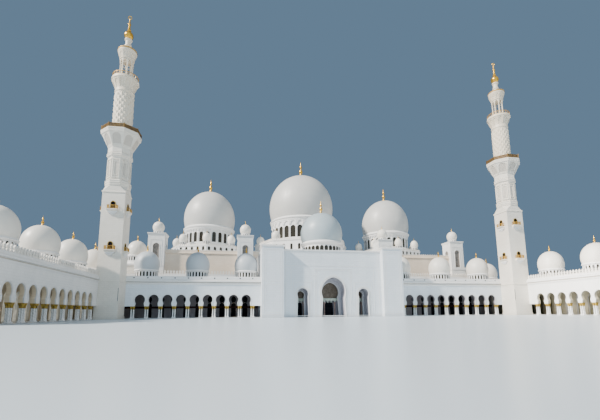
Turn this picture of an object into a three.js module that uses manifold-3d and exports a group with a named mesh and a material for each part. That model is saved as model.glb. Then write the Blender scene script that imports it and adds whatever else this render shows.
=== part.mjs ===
// A white marble mosque: prayer hall with three great domes, domed portal, arcades and two minarets.
// The model is at 1:10, so a length of 100 millimetres here is one metre of the building.
// Seen from the courtyard: X to the right, Y into the building, Z up from the paving.
// Y is 0 on the face of the front arcades; the last lines move the origin under the model's middle.

import * as THREE from 'three';
import { mergeVertices } from 'three/addons/utils/BufferGeometryUtils.js';
import Module from 'manifold-3d';

const wasm = await Module();
wasm.setup();

// Driving dimensions, in millimetres of the model

const archPitch = 429;
const floorTop = 12;
const below = 10; // an opening's cutter starts this far under the foot of its wall

const arcade = {
  firstArch: 3015, arches: 9, innerEnd: 2520, depth: 1400,
  wall: 100, backWall: 60, roofUnder: 1130, roofTop: 1270, cornice: 20,
  capitalUnder: 285, capitalTop: 400, capitalInset: 3, shaftRadius: 27, shaftSpread: 37,
};
const arcadeArch = { half: 163, widest: 610, apex: 780, neck: 505, legHalf: 147, foot: 400 - below, steps: 4 };
const backDoor = { half: 95, widest: 430, apex: 540, neck: 400, legHalf: 95, foot: floorTop - below, steps: 1 };
const endSlot = { inner: 2590, outer: 6860 };
const parapet = { inset: 12, heights: [arcade.roofTop - 5, 1420] };

const sideArcade = {
  face: 7500, outside: 8800, firstArch: -1210, arches: 11, endSlot: -740, end: -5790, back: 2650,
  outerWall: 130, outerOpenings: 18, domeLine: 8080, domeRows: [-4642, -2926, -1210, 506, 2222],
};
const outerArch = { half: 140, widest: 560, apex: 740, neck: 555, legHalf: 140, foot: floorTop - below, steps: 1 };

const smallDome = {
  radius: 418, widest: 1850, apex: 2330, base: 1647, drum: 380, inner: 345, innerApex: 2220, sides: 10,
};
const frontDomeBays = [0, 4, 8];

const hall = { half: 6760, front: 2150, back: 9400, wall: 120, roofUnder: 2530, roofTop: 2650 };
const domeLineY = 5780;
const tower = {
  half: 310, outerX: 6450, innerX: 3020, frontY: 2280, backY: 9270, top: 3280,
  niche: { half: 125, widest: 2750, apex: 2880, neck: 2700, legHalf: 125, foot: 2100, steps: 2 }, nicheDepth: 60,
  dome: { radius: 222, widest: 3560, apex: 3800, base: 3370, drum: 175, sides: 8 },
};

const greatDomes = {
  main: {
    x: 0, radius: 1675, widest: 5570, apex: 7410, ring: 4830, drum: 1540, drumWall: 110, podium: 2420,
    podiumTop: 3550, turretRing: 2150, windows: { count: 28, half: 80, foot: 3850, widest: 4280, apex: 4370 },
    turret: { radius: 205, widest: 3790, apex: 4030, base: 3640, drum: 165, sides: 6 }, tip: 8300, hole: 1400,
  },
  left: {
    x: -4730, radius: 1260, widest: 4830, apex: 6280, ring: 4290, drum: 1150, drumWall: 90, podium: 1820,
    podiumTop: 3230, turretRing: 1560, windows: { count: 24, half: 70, foot: 3600, widest: 3900, apex: 3980 },
    turret: { radius: 190, widest: 3600, apex: 3840, base: 3440, drum: 150, sides: 6 }, tip: 7040, hole: 1040,
  },
};
greatDomes.right = { ...greatDomes.left, x: -greatDomes.left.x };
const shellWall = 60;
const podiumWall = 100;

const portal = {
  half: 2520, pierInner: 1780, pierFront: -540, face: -320, wall: 120, reveal: 150, screen: 350, screenWall: 40,
  pierTop: 2440, top: 2340, roofUnder: 2260, sideWall: 110,
  dome: { y: 1340, radius: 840, widest: 3260, apex: 4150, ring: 2870, drum: 770, drumWall: 60, tip: 4710, hole: 690 },
  windows: { count: 28, half: 42, foot: 2490, widest: 2640, apex: 2690 },
};
const mainArch = { half: 435, widest: 870, apex: 1380, neck: 660, legHalf: 435, foot: -below, steps: 6 };
const innerMainArch = { half: 330, widest: 870, apex: 1240, neck: 700, legHalf: 330, foot: -below, steps: 5 };
const sideArch = { x: 1095, half: 198, widest: 785, apex: 990, neck: 690, legHalf: 198, foot: -below, steps: 4 };
const innerSideArch = { half: 150, widest: 770, apex: 925, neck: 700, legHalf: 150, foot: -below, steps: 3 };
const portalDoor = { half: 160, widest: 440, apex: 510, neck: 420, legHalf: 160, foot: floorTop, steps: 2 };
const portalSideDoor = { half: 95, widest: 440, apex: 500, neck: 420, legHalf: 95, foot: floorTop, steps: 2 };
const liningWall = 40;

const minaret = {
  x: 7240, y: -340, half: 340, squareTop: 4020, chamferTop: 4230,
  balconies: [2130, 3430], balconyHalf: 155, balconyOut: 100, balconyThick: 20, bracketDrop: 90,
  octagon: [[376, 4230], [388, 4300], [388, 4400], [350, 4440], [350, 5190], [388, 5230], [388, 5310],
    [368, 5350], [368, 5540], [440, 5730], [560, 5960], [615, 6010], [615, 6090]],
  shaftRadius: 295, shaftTop: 7690, corbelTop: 8000, galleryRadius: 422, galleryTop: 8080,
  lanternRadius: 190, lanternColumn: 24, lanternColumns: 8, lanternHead: 8800, headRadius: 297, headTop: 9160,
  neck: 93, neckTop: 9660, ball: 150, ballCentre: 9810, tip: 10600,
};

const annex = { inner: 6760, outer: 8100, front: 3550, back: 4450, top: 2260, wall: 100, dome: 7650, lift: 990 };

// Materials

const marble = new THREE.MeshStandardMaterial({ color: 0xf0eee8, roughness: 0.5, metalness: 0 });
const shadeMarble = new THREE.MeshStandardMaterial({ color: 0xd5dbe0, roughness: 0.55, metalness: 0 });
const domeMarble = new THREE.MeshStandardMaterial({ color: 0xf5f2ec, roughness: 0.42, metalness: 0 });
const floorMarble = new THREE.MeshStandardMaterial({ color: 0xe4e6e6, roughness: 0.3, metalness: 0 });
const gilding = new THREE.MeshStandardMaterial({ color: 0xc8962c, roughness: 0.28, metalness: 1 });

// Shapes

// Turns a closed three.js geometry into a solid, facing outwards.
function solid(geometry) {
  const bare = geometry.index ? geometry.clone() : geometry;
  bare.deleteAttribute('normal');
  bare.deleteAttribute('uv');
  const merged = mergeVertices(bare, 1e-3);
  const vertices = Float32Array.from(merged.attributes.position.array);
  const triangles = [];
  const index = merged.index.array;
  for (let i = 0; i < index.length; i += 3) {
    const [a, b, c] = [index[i], index[i + 1], index[i + 2]];
    if (a !== b && b !== c && c !== a) triangles.push(a, b, c);
  }
  if (signedVolume(vertices, triangles) < 0) triangles.reverse();
  return new wasm.Manifold(new wasm.Mesh({
    numProp: 3, vertProperties: vertices, triVerts: Uint32Array.from(triangles),
  }));
}

function signedVolume(vertices, triangles) {
  const corner = (i) => new THREE.Vector3().fromArray(vertices, 3 * i);
  let sum = 0;
  for (let i = 0; i < triangles.length; i += 3) {
    const [a, b, c] = [corner(triangles[i]), corner(triangles[i + 1]), corner(triangles[i + 2])];
    sum += a.dot(b.cross(c)) / 6;
  }
  return sum;
}

function join(first, ...rest) {
  return rest.reduce((sum, next) => sum.add(next), first);
}

function cut(first, ...rest) {
  return rest.reduce((left, next) => left.subtract(next), first);
}

// A slab between two opposite corners, given as ranges along X, Y and Z in either order.
function slab(xs, ys, zs) {
  const size = [xs, ys, zs].map(([a, b]) => Math.abs(b - a));
  const middle = [xs, ys, zs].map(([a, b]) => (a + b) / 2);
  return solid(new THREE.BoxGeometry(...size).translate(...middle));
}

// An upright prism on a plan, given as points in order.
function upright(plan, [low, high]) {
  const shape = new THREE.Shape(plan.map(([x, y]) => new THREE.Vector2(x, y)));
  return solid(new THREE.ExtrudeGeometry(shape, { depth: high - low, bevelEnabled: false }).translate(0, 0, low));
}

// A turned piece on an upright axis; its profile is a list of [radius, height].
function turned(profile, sides, x, y, turn = 0) {
  const points = profile.map(([radius, height]) => new THREE.Vector2(radius, height));
  const lathe = new THREE.LatheGeometry(points, sides, turn);
  return solid(lathe.rotateX(Math.PI / 2).translate(x, y, 0));
}

// Right and left halves of a pointed horseshoe arch: legs, a neck, and two arcs that meet at the apex.
function archOutline({ half, widest, apex, neck, legHalf, foot, steps }) {
  const rise = apex - widest;
  const offset = (rise * rise - half * half) / (2 * half);
  const radius = half + offset;
  const lowest = Math.asin((neck - widest) / radius);
  const highest = Math.acos(offset / radius);
  const right = [new THREE.Vector2(legHalf, foot)];
  for (let i = 0; i <= steps; i += 1) {
    const angle = lowest + (highest - lowest) * (i / steps);
    const across = i === steps ? 0 : radius * Math.cos(angle) - offset;
    right.push(new THREE.Vector2(across, widest + radius * Math.sin(angle)));
  }
  const left = right.slice(0, -1).map((point) => new THREE.Vector2(-point.x, point.y)).reverse();
  return [...right, ...left];
}

// The same outline grown outwards by a wall's thickness, down to the ground.
function grownArch(arch, by) {
  return { ...arch, half: arch.half + by, legHalf: arch.legHalf + by, apex: arch.apex + by, foot: 0 };
}

// A prism of an arch's outline that runs along Y between two places, centred on x.
function archAlongY(arch, x, near, far) {
  const shape = new THREE.Shape(archOutline(arch));
  const prism = new THREE.ExtrudeGeometry(shape, { depth: far - near, bevelEnabled: false });
  return solid(prism.rotateX(Math.PI / 2).translate(x, far, 0));
}

// The same prism running along X, centred on y.
function archAlongX(arch, y, near, far) {
  const shape = new THREE.Shape(archOutline(arch));
  const prism = new THREE.ExtrudeGeometry(shape, { depth: Math.abs(far - near), bevelEnabled: false });
  return solid(prism.rotateX(Math.PI / 2).rotateZ(Math.PI / 2).translate(Math.min(near, far), y, 0));
}

// Points of a dome's curve from its base up to a small flat top, as an upright ellipse.
function domeCurve({ radius, widest, apex, base }, steps, capRadius) {
  const rise = apex - widest;
  const lowest = Math.asin((base - widest) / rise);
  const highest = Math.acos(capRadius / radius);
  const points = [];
  for (let i = 0; i < steps; i += 1) {
    const angle = lowest + (highest - lowest) * (i / (steps - 1));
    points.push([radius * Math.cos(angle), widest + rise * Math.sin(angle)]);
  }
  points[0][1] = base;
  points[steps - 1] = [capRadius, apex];
  return points;
}

// A dome's shell, open underneath.
function domeShell(dome, sides, x, y, outerSteps, innerSteps, capRadius, turn = 0) {
  const outer = domeCurve(dome, outerSteps, capRadius);
  const inside = { ...dome, radius: dome.radius - shellWall, apex: dome.apex - shellWall };
  const inner = domeCurve(inside, innerSteps, capRadius);
  return turned([[0, inside.apex], ...inner.reverse(), ...outer, [0, dome.apex]], sides, x, y, turn);
}

// A small closed dome on its drum, such as a turret's.
function cupola(dome, foot, x, y, steps) {
  const curve = domeCurve(dome, steps, dome.radius * 0.12);
  const profile = [[0, foot], [dome.drum, foot], [dome.drum, dome.base], ...curve, [0, dome.apex]];
  return turned(profile, dome.sides, x, y);
}

const meshes = [];

function addNode(name, piece, material) {
  const { vertProperties, triVerts } = piece.getMesh();
  const geometry = new THREE.BufferGeometry();
  geometry.setAttribute('position', new THREE.BufferAttribute(vertProperties, 3));
  geometry.setIndex(new THREE.BufferAttribute(triVerts, 1));
  const mesh = new THREE.Mesh(geometry, material);
  mesh.name = name;
  meshes.push(mesh);
}

// A ring of arched windows, cut through a drum's wall.
function windowRing({ count, half, foot, widest, apex }, x, y, radius, wall) {
  const arch = { half, widest, apex, neck: widest - 1, legHalf: half, foot, steps: 1 };
  const shape = new THREE.Shape(archOutline(arch));
  const cutters = [];
  for (let i = 0; i < count; i += 1) {
    const prism = new THREE.ExtrudeGeometry(shape, { depth: 4 * wall, bevelEnabled: false });
    prism.rotateX(Math.PI / 2).translate(0, radius + wall, 0);
    prism.rotateZ(2 * Math.PI * ((i + 0.5) / count)).translate(x, y, 0);
    cutters.push(solid(prism));
  }
  return cutters;
}

// Arcades along the courtyard

// A capital block on two shafts that stand along X or along Y; the block reaches into the wall above it.
function columnPair(x, y, alongX) {
  const { wall, capitalUnder, capitalTop, capitalInset, shaftRadius, shaftSpread } = arcade;
  const reach = (archPitch / 2) - arcadeArch.legHalf - capitalInset;
  const deep = wall / 2 - capitalInset;
  const [halfX, halfY] = alongX ? [reach, deep] : [deep, reach];
  const pieces = [slab([x - halfX, x + halfX], [y - halfY, y + halfY], [capitalUnder, capitalTop + 4])];
  for (const side of [-1, 1]) {
    const dx = alongX ? side * shaftSpread : 0;
    const dy = alongX ? 0 : side * shaftSpread;
    const shaft = [[0, floorTop], [shaftRadius, floorTop], [shaftRadius, capitalUnder + 4], [0, capitalUnder + 4]];
    pieces.push(turned(shaft, 6, x + dx, y + dy, Math.PI / 6));
  }
  return join(...pieces);
}

function archPlaces(first, count, step) {
  return Array.from({ length: count }, (_, i) => first + step * i);
}

// A small dome on its drum, and the well that hollows it and opens the roof below.
function roofDome(x, y, lift = 0) {
  const { base, drum, inner, innerApex, sides } = smallDome;
  const sunk = arcade.roofTop - 20;
  const curve = domeCurve(smallDome, 5, 40);
  const profile = [[0, sunk], [drum, sunk], [drum, base], ...curve, [0, smallDome.apex]];
  const wellProfile = [[0, sunk - 1000], [inner, sunk - 1000], [inner, innerApex - 420], [0, innerApex]];
  const raise = (points) => points.map(([radius, height]) => [radius, height + lift]);
  return { outside: turned(raise(profile), sides, x, y), well: turned(raise(wellProfile), 6, x, y) };
}

function domedRoof(flat, places) {
  const domes = places.map(([x, y]) => roofDome(x, y));
  return cut(join(flat, ...domes.map((dome) => dome.outside)), ...domes.map((dome) => dome.well));
}

function frontArcade(side, name) {
  const across = (from, to) => [side * from, side * to];
  const archXs = archPlaces(arcade.firstArch, arcade.arches, archPitch);
  const outerEnd = minaret.x - minaret.half;
  const wall = slab(across(arcade.innerEnd, outerEnd), [0, arcade.wall], [arcade.capitalTop, arcade.roofUnder]);
  const arches = archXs.map((x) => archAlongY(arcadeArch, side * x, -10, arcade.wall + 10));
  const pairXs = archPlaces(arcade.firstArch - archPitch / 2, arcade.arches + 1, archPitch);
  const pairs = pairXs.map((x) => columnPair(side * x, arcade.wall / 2, true));
  const heights = [floorTop, arcade.capitalTop + 4];
  const inset = arcade.capitalInset;
  const endYs = [inset, arcade.wall - inset];
  const ends = [
    slab(across(arcade.innerEnd + inset, endSlot.inner), endYs, heights),
    slab(across(endSlot.outer, outerEnd - inset), endYs, heights),
  ];
  addNode(`${name}_front_arcade`, join(cut(wall, ...arches), ...pairs, ...ends), shadeMarble);

  const floor = slab(across(arcade.innerEnd, sideArcade.face), [0, arcade.depth], [0, floorTop]);
  addNode(`${name}_front_floor`, floor, floorMarble);

  const backYs = [arcade.depth - arcade.backWall, arcade.depth];
  const back = slab(across(arcade.innerEnd, sideArcade.face), backYs, [floorTop, arcade.roofUnder]);
  const doors = archXs.map((x) => archAlongY(backDoor, side * x, backYs[0] - 10, backYs[1] + 10));
  addNode(`${name}_front_back_wall`, cut(back, ...doors), shadeMarble);

  const roofZs = [arcade.roofUnder, arcade.roofTop];
  const flat = join(
    slab(across(arcade.innerEnd, sideArcade.face), [0, arcade.depth], roofZs),
    slab(across(arcade.innerEnd, outerEnd), [-arcade.cornice, 0], roofZs),
    slab(across(arcade.innerEnd, outerEnd), [-parapet.inset, parapet.inset], parapet.heights),
  );
  const domes = frontDomeBays.map((bay) => [side * (arcade.firstArch + bay * archPitch), arcade.depth / 2]);
  addNode(`${name}_front_roof`, domedRoof(flat, domes), domeMarble);
}

function sideWing(side, name) {
  const across = (from, to) => [side * from, side * to];
  const { face, outside, end, back } = sideArcade;
  const archYs = archPlaces(sideArcade.firstArch, sideArcade.arches, -archPitch);
  const towerFront = minaret.y - minaret.half;
  const minaretSpace = slab(across(face - 10, minaret.x + minaret.half), [towerFront, 0], [-10, 2000]);

  const inner = slab(across(face, face + arcade.wall), [end, towerFront], [arcade.capitalTop, arcade.roofUnder]);
  const arches = archYs.map((y) => archAlongX(arcadeArch, y, side * (face - 10), side * (face + arcade.wall + 10)));
  const pairYs = archPlaces(sideArcade.firstArch + archPitch / 2, sideArcade.arches + 1, -archPitch);
  const pairs = pairYs.map((y) => columnPair(side * (face + arcade.wall / 2), y, false));
  const endInset = arcade.capitalInset;
  const endXs = across(face + endInset, face + arcade.wall - endInset);
  const nearMinaret = slab(endXs, [sideArcade.endSlot, towerFront - endInset], [floorTop, arcade.capitalTop + 4]);
  addNode(`${name}_side_arcade`, join(cut(inner, ...arches), ...pairs, nearMinaret), marble);

  const floor = cut(slab(across(face, outside), [end, back], [0, floorTop]), minaretSpace);
  addNode(`${name}_side_floor`, floor, floorMarble);

  const heights = [floorTop, arcade.roofUnder];
  const within = outside - sideArcade.outerWall;
  const plan = [[face + arcade.wall, end], [outside, end], [outside, back], [face, back], [face, arcade.depth],
    [face + 100, arcade.depth], [face + 100, back - 100], [within, back - 100], [within, end + 60],
    [face + arcade.wall, end + 60]];
  const outerYs = archPlaces(archYs[archYs.length - 1], sideArcade.outerOpenings, archPitch);
  const openings = outerYs.map((y) => archAlongX(outerArch, y, side * (within - 10), side * (outside + 10)));
  const walls = upright(plan.map(([x, y]) => [side * x, y]), heights);
  addNode(`${name}_side_outer_wall`, cut(walls, ...openings), marble);

  const roofZs = [arcade.roofUnder, arcade.roofTop];
  const { inset } = parapet;
  const edge = [[face - inset, towerFront], [face - inset, end + inset], [outside - inset, end + inset],
    [outside - inset, back], [outside - 3 * inset, back], [outside - 3 * inset, end + 3 * inset],
    [face + inset, end + 3 * inset], [face + inset, towerFront]];
  const flat = join(
    cut(slab(across(face, outside), [end, back], roofZs), minaretSpace),
    slab(across(face - arcade.cornice, face), [end, towerFront], roofZs),
    upright(edge.map(([x, y]) => [side * x, y]), parapet.heights),
  );
  const domes = sideArcade.domeRows.map((y) => [side * sideArcade.domeLine, y]);
  addNode(`${name}_side_roof`, domedRoof(flat, domes), domeMarble);
}

// Minarets

function minaretBase(side) {
  const { x, y, half, squareTop, chamferTop, octagon } = minaret;
  const centreX = side * x;
  const square = slab([centreX - half, centreX + half], [y - half, y + half], [0, chamferTop]);
  const toVertex = 1 / Math.cos(Math.PI / 8);
  const diagonal = half * Math.SQRT2 * toVertex;
  const trimmer = [[0, -10], [2 * half, -10], [2 * half, squareTop - 10], [diagonal, squareTop],
    [(half - 3) * toVertex, chamferTop], [0, chamferTop]];
  const shaft = square.intersect(turned(trimmer, 8, centreX, y, Math.PI / 8));
  const galleryFloor = octagon[octagon.length - 1][1];
  const upper = turned([[0, chamferTop - 10], [octagon[0][0], chamferTop - 10], ...octagon, [0, galleryFloor]],
    8, centreX, y, Math.PI / 8);
  const balconies = minaret.balconies.flatMap((height) => [0, 1, 2, 3].map((face) => balcony(centreX, height, face)));
  return join(shaft, upper, ...balconies);
}

// A stone balcony on a tapering bracket, on one of the four faces of the square shaft.
function balcony(centreX, height, face) {
  const { y, half, balconyHalf, balconyOut, balconyThick, bracketDrop } = minaret;
  const side = [[-10, -bracketDrop], [balconyOut * 0.35, -bracketDrop], [balconyOut, -balconyThick],
    [balconyOut, 0], [-10, 0]];
  const shape = new THREE.Shape(side.map(([out, up]) => new THREE.Vector2(half + out, height + up)));
  const prism = new THREE.ExtrudeGeometry(shape, { depth: 2 * balconyHalf, bevelEnabled: false });
  prism.rotateX(Math.PI / 2).translate(0, balconyHalf, 0).rotateZ(face * Math.PI / 2);
  return solid(prism.translate(centreX, y, 0));
}

function minaretShaft(side) {
  const { shaftRadius, shaftTop, corbelTop, galleryRadius, galleryTop, y, x } = minaret;
  const foot = minaret.octagon[minaret.octagon.length - 1][1];
  const profile = [[0, foot], [shaftRadius, foot], [shaftRadius, shaftTop], [shaftRadius + 45, shaftTop + 160],
    [galleryRadius, corbelTop], [galleryRadius, galleryTop], [0, galleryTop]];
  return turned(profile, 16, side * x, y);
}

// An open ring of columns on the gallery, carrying the flared head and its neck.
function minaretLantern(side) {
  const { galleryTop, lanternRadius, lanternColumn, lanternColumns, lanternHead, headRadius, headTop } = minaret;
  const { neck, neckTop, x, y } = minaret;
  const centreX = side * x;
  const head = turned([[0, lanternHead], [218, lanternHead], [235, lanternHead + 130], [headRadius, headTop - 90],
    [headRadius, headTop], [neck, headTop], [neck, neckTop], [0, neckTop]], lanternColumns, centreX, y);
  const shaft = [[0, galleryTop - 20], [lanternColumn, galleryTop - 20], [lanternColumn, lanternHead + 20],
    [0, lanternHead + 20]];
  const columns = archPlaces(0, lanternColumns, 2 * Math.PI / lanternColumns).map((angle) => turned(
    shaft, 6, centreX + lanternRadius * Math.cos(angle), y + lanternRadius * Math.sin(angle)));
  return join(head, ...columns);
}

function minaretFinial(side) {
  const { neckTop, ball, ballCentre, tip, x, y } = minaret;
  const globe = { radius: ball, widest: ballCentre, apex: ballCentre + ball, base: neckTop + 8 };
  const profile = [[0, neckTop], [60, neckTop], ...domeCurve(globe, 6, 50), [34, ballCentre + 260],
    [14, tip - 160], [14, tip - 130], [0, tip - 130]];
  const centreX = side * x;
  const crescent = new THREE.TorusGeometry(56, 12, 4, 12).rotateX(Math.PI / 2);
  crescent.translate(centreX, y, tip - 68);
  return join(turned(profile, 8, centreX, y), solid(crescent));
}

function addMinaret(side, name) {
  addNode(`${name}_minaret_shaft`, minaretBase(side), marble);
  addNode(`${name}_minaret_gallery`, join(minaretShaft(side), minaretLantern(side)), marble);
  addNode(`${name}_minaret_finial`, minaretFinial(side), gilding);
}

// Prayer hall

function hallTower(x, y) {
  const { half, top, niche, nicheDepth, dome } = tower;
  const block = slab([x - half, x + half], [y - half, y + half], [0, top]);
  const niches = [
    archAlongY(niche, x, y - half - 10, y - half + nicheDepth),
    archAlongY(niche, x, y + half - nicheDepth, y + half + 10),
    archAlongX(niche, y, x - half - 10, x - half + nicheDepth),
    archAlongX(niche, y, x + half - nicheDepth, x + half + 10),
  ];
  return join(cut(block, ...niches), cupola(dome, top - 10, x, y, 5));
}

function addHallWalls() {
  const { half, front, back, wall, roofUnder } = hall;
  const { outerX, innerX, backY } = tower;
  const heights = [0, roofUnder];
  const frontYs = [front, front + wall];
  for (const [side, name] of [[-1, 'left'], [1, 'right']]) {
    const from = innerX + tower.half;
    const to = outerX - tower.half;
    const piece = slab([side * from, side * to], frontYs, heights);
    const door = archAlongY(portalSideDoor, side * (from + to) / 2, front - 10, front + wall + 10);
    addNode(`hall_front_wall_${name}`, cut(piece, door), marble);
    const sideYs = [tower.frontY + tower.half, backY - tower.half];
    addNode(`hall_${name}_wall`, slab([side * (half - wall), side * half], sideYs, heights), marble);
    addNode(`${name}_outer_tower`, hallTower(side * outerX, tower.frontY), marble);
    addNode(`${name}_inner_tower`, hallTower(side * innerX, tower.frontY), marble);
    addNode(`${name}_back_tower`, hallTower(side * outerX, backY), marble);
  }
  const centre = slab([-(innerX - tower.half), innerX - tower.half], frontYs, heights);
  const doors = [[portalDoor, 0], [portalSideDoor, -sideArch.x], [portalSideDoor, sideArch.x]]
    .map(([door, x]) => archAlongY(door, x, front - 10, front + wall + 10));
  addNode('hall_front_wall_centre', cut(centre, ...doors), marble);
  const backHalf = outerX - tower.half;
  const backDoorway = archAlongY(portalDoor, 0, back - wall - 10, back + 10);
  addNode('hall_back_wall', cut(slab([-backHalf, backHalf], [back - wall, back], heights), backDoorway), marble);
  const floor = slab([-(half - wall), half - wall], [front + wall, back - wall], [0, floorTop]);
  addNode('hall_floor', cut(floor, ...towerPlaces().map((place) => towerSpace(place, -10, 20))), floorMarble);
}

function towerPlaces() {
  return [-1, 1].flatMap((side) => [
    [side * tower.outerX, tower.frontY], [side * tower.innerX, tower.frontY], [side * tower.outerX, tower.backY]]);
}

// The upright space that a tower takes out of the floor or the roof.
function towerSpace([x, y], low, high) {
  return slab([x - tower.half, x + tower.half], [y - tower.half, y + tower.half], [low, high]);
}

function addHallRoof() {
  const { half, front, back, roofUnder, roofTop } = hall;
  const towers = towerPlaces().map((place) => towerSpace(place, roofUnder - 10, roofTop + 10));
  const holes = Object.values(greatDomes).map(({ x, hole }) => turned(
    [[0, roofUnder - 10], [hole, roofUnder - 10], [hole, roofTop + 10], [0, roofTop + 10]], 12, x, domeLineY));
  addNode('hall_roof', cut(slab([-half, half], [front, back], [roofUnder, roofTop]), ...towers, ...holes), marble);
}

// The octagonal podium with its turrets; its top reaches in under the drum's wall.
function domePodium({ x, drum, drumWall, podium, podiumTop, turretRing, turret }) {
  const inside = podium - podiumWall;
  const hole = drum - drumWall;
  const ring = turned([[inside, hall.roofTop], [podium, hall.roofTop], [podium, podiumTop], [hole, podiumTop],
    [hole, podiumTop - 80], [inside, podiumTop - 80], [inside, hall.roofTop]], 8, x, domeLineY);
  const turrets = archPlaces(0, 8, Math.PI / 4).map((angle) => cupola(
    turret, podiumTop - 10, x + turretRing * Math.cos(angle), domeLineY + turretRing * Math.sin(angle), 4));
  return join(ring, ...turrets);
}

// The round drum with its ring of windows.
function domeDrum({ x, ring, drum, drumWall, podiumTop, windows }) {
  const wall = turned([[drum - drumWall, podiumTop], [drum, podiumTop], [drum, ring - 60], [drum + 40, ring],
    [drum - drumWall, ring], [drum - drumWall, podiumTop]], windows.count, x, domeLineY);
  return cut(wall, ...windowRing(windows, x, domeLineY, drum, drumWall));
}

function finial(x, y, foot, tip, size) {
  const tall = tip - foot;
  const profile = [[0, foot], [size, foot], [size * 0.7, foot + tall * 0.3], [size * 0.9, foot + tall * 0.42],
    [size * 0.4, foot + tall * 0.55], [size * 0.55, foot + tall * 0.68], [size * 0.2, foot + tall * 0.8], [0, tip]];
  return turned(profile, 8, x, y);
}

function addGreatDomes() {
  for (const [name, dome] of Object.entries(greatDomes)) {
    const finialRadius = dome.radius * 0.034;
    addNode(`${name}_dome_podium`, domePodium(dome), marble);
    addNode(`${name}_dome_drum`, domeDrum(dome), marble);
    const sides = dome.windows.count;
    const shell = domeShell({ ...dome, base: dome.ring }, sides, dome.x, domeLineY, 7, 4, finialRadius * 1.4);
    addNode(`${name}_dome`, shell, domeMarble);
    addNode(`${name}_dome_finial`, finial(dome.x, domeLineY, dome.apex, dome.tip, finialRadius), gilding);
  }
}

// Portal

function addPortal() {
  const { half, pierInner, pierFront, face, wall, reveal, screen, screenWall, pierTop, top, roofUnder } = portal;
  const front = slab([-pierInner, pierInner], [face, face + wall], [0, top]);
  const outerLinings = [
    archAlongY(grownArch(mainArch, liningWall), 0, face + 10, reveal),
    archAlongY(grownArch(mainArch, liningWall), 0, reveal, screen),
    ...[-1, 1].map((side) => archAlongY(grownArch(sideArch, liningWall), side * sideArch.x, face + 10, screen)),
  ];
  const passages = [
    archAlongY(mainArch, 0, face - 10, reveal),
    archAlongY(innerMainArch, 0, reveal - 10, screen + 10),
    ...[-1, 1].flatMap((side) => [
      archAlongY(sideArch, side * sideArch.x, face - 10, reveal),
      archAlongY(innerSideArch, side * sideArch.x, reveal - 10, screen + 10),
    ]),
  ];
  addNode('portal_front_wall', cut(join(front, ...outerLinings), ...passages), shadeMarble);

  const screenSlab = slab([-pierInner, pierInner], [screen, screen + screenWall], [0, roofUnder]);
  const doors = [[portalDoor, 0], [portalSideDoor, -sideArch.x], [portalSideDoor, sideArch.x]]
    .map(([door, x]) => archAlongY(door, x, screen - 10, screen + screenWall + 10));
  addNode('portal_screen', cut(screenSlab, ...doors), shadeMarble);

  for (const [side, name] of [[-1, 'left'], [1, 'right']]) {
    const pier = slab([side * pierInner, side * half], [pierFront, screen + screenWall], [0, pierTop]);
    const sideWall = slab([side * (half - portal.sideWall), side * half],
      [screen + screenWall - 10, hall.front], [0, roofUnder]);
    addNode(`portal_${name}_pier`, join(pier, sideWall), shadeMarble);
  }

  const flat = join(
    slab([-pierInner, pierInner], [face + wall, screen + screenWall], [roofUnder, top]),
    slab([-half, half], [screen + screenWall, hall.front], [roofUnder, top]),
  );
  const { y, ring, drum, drumWall, hole } = portal.dome;
  const well = turned([[0, roofUnder - 10], [hole, roofUnder - 10], [hole, top + 10], [0, top + 10]], 14, 0, y);
  const drumRing = turned([[drum - drumWall, top - 20], [drum, top - 20], [drum, ring - 50],
    [drum + 25, ring], [drum - drumWall, ring], [drum - drumWall, top - 20]], 28, 0, y);
  const cutters = windowRing(portal.windows, 0, y, drum, drumWall);
  addNode('portal_roof', join(cut(flat, well), cut(drumRing, ...cutters)), marble);
  addNode('portal_dome', domeShell({ ...portal.dome, base: ring }, 28, 0, y, 6, 3, 46), domeMarble);
  addNode('portal_dome_finial', finial(0, y, portal.dome.apex, portal.dome.tip, 32), gilding);

  const floor = slab([-(half - portal.sideWall), half - portal.sideWall], [screen + screenWall, hall.front],
    [0, floorTop]);
  addNode('portal_floor', floor, floorMarble);
}

// Domed annexes at the hall's flanks

function annexBlock(side) {
  const { inner, outer, front, back, top, wall, dome, lift } = annex;
  const across = (from, to) => [side * from, side * to];
  const block = slab(across(inner, outer), [front, back], [0, top]);
  const room = slab(across(inner + wall, outer - wall), [front + wall, back - wall], [-10, top - wall]);
  const door = archAlongX(portalSideDoor, (front + back) / 2, side * (outer - wall - 10), side * (outer + 10));
  const { outside, well } = roofDome(side * dome, (front + back) / 2, lift);
  return cut(join(block, outside), room, door, well);
}

for (const [side, name] of [[-1, 'left'], [1, 'right']]) {
  frontArcade(side, name);
  sideWing(side, name);
  addMinaret(side, name);
  addNode(`${name}_annex`, annexBlock(side), marble);
}
addHallWalls();
addHallRoof();
addGreatDomes();
addPortal();

const building = new THREE.Group();
building.add(...meshes);
building.position.y = -(sideArcade.end + tower.backY + tower.half) / 2;

export default building;
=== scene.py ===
# %% [markdown]
# # Dressing a white marble mosque
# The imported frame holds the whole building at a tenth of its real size: walls with their openings cut,
# roofs, domes and minarets. This lesson gives it what a visitor sees: smooth domes, mouldings, parapets
# of stone leaves, paired columns with gilded capitals, dark glazing and polished marble.

# %% Load the frame
import math

import bpy
from mathutils import Matrix, Vector
from mathutils.geometry import tessellate_polygon


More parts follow.
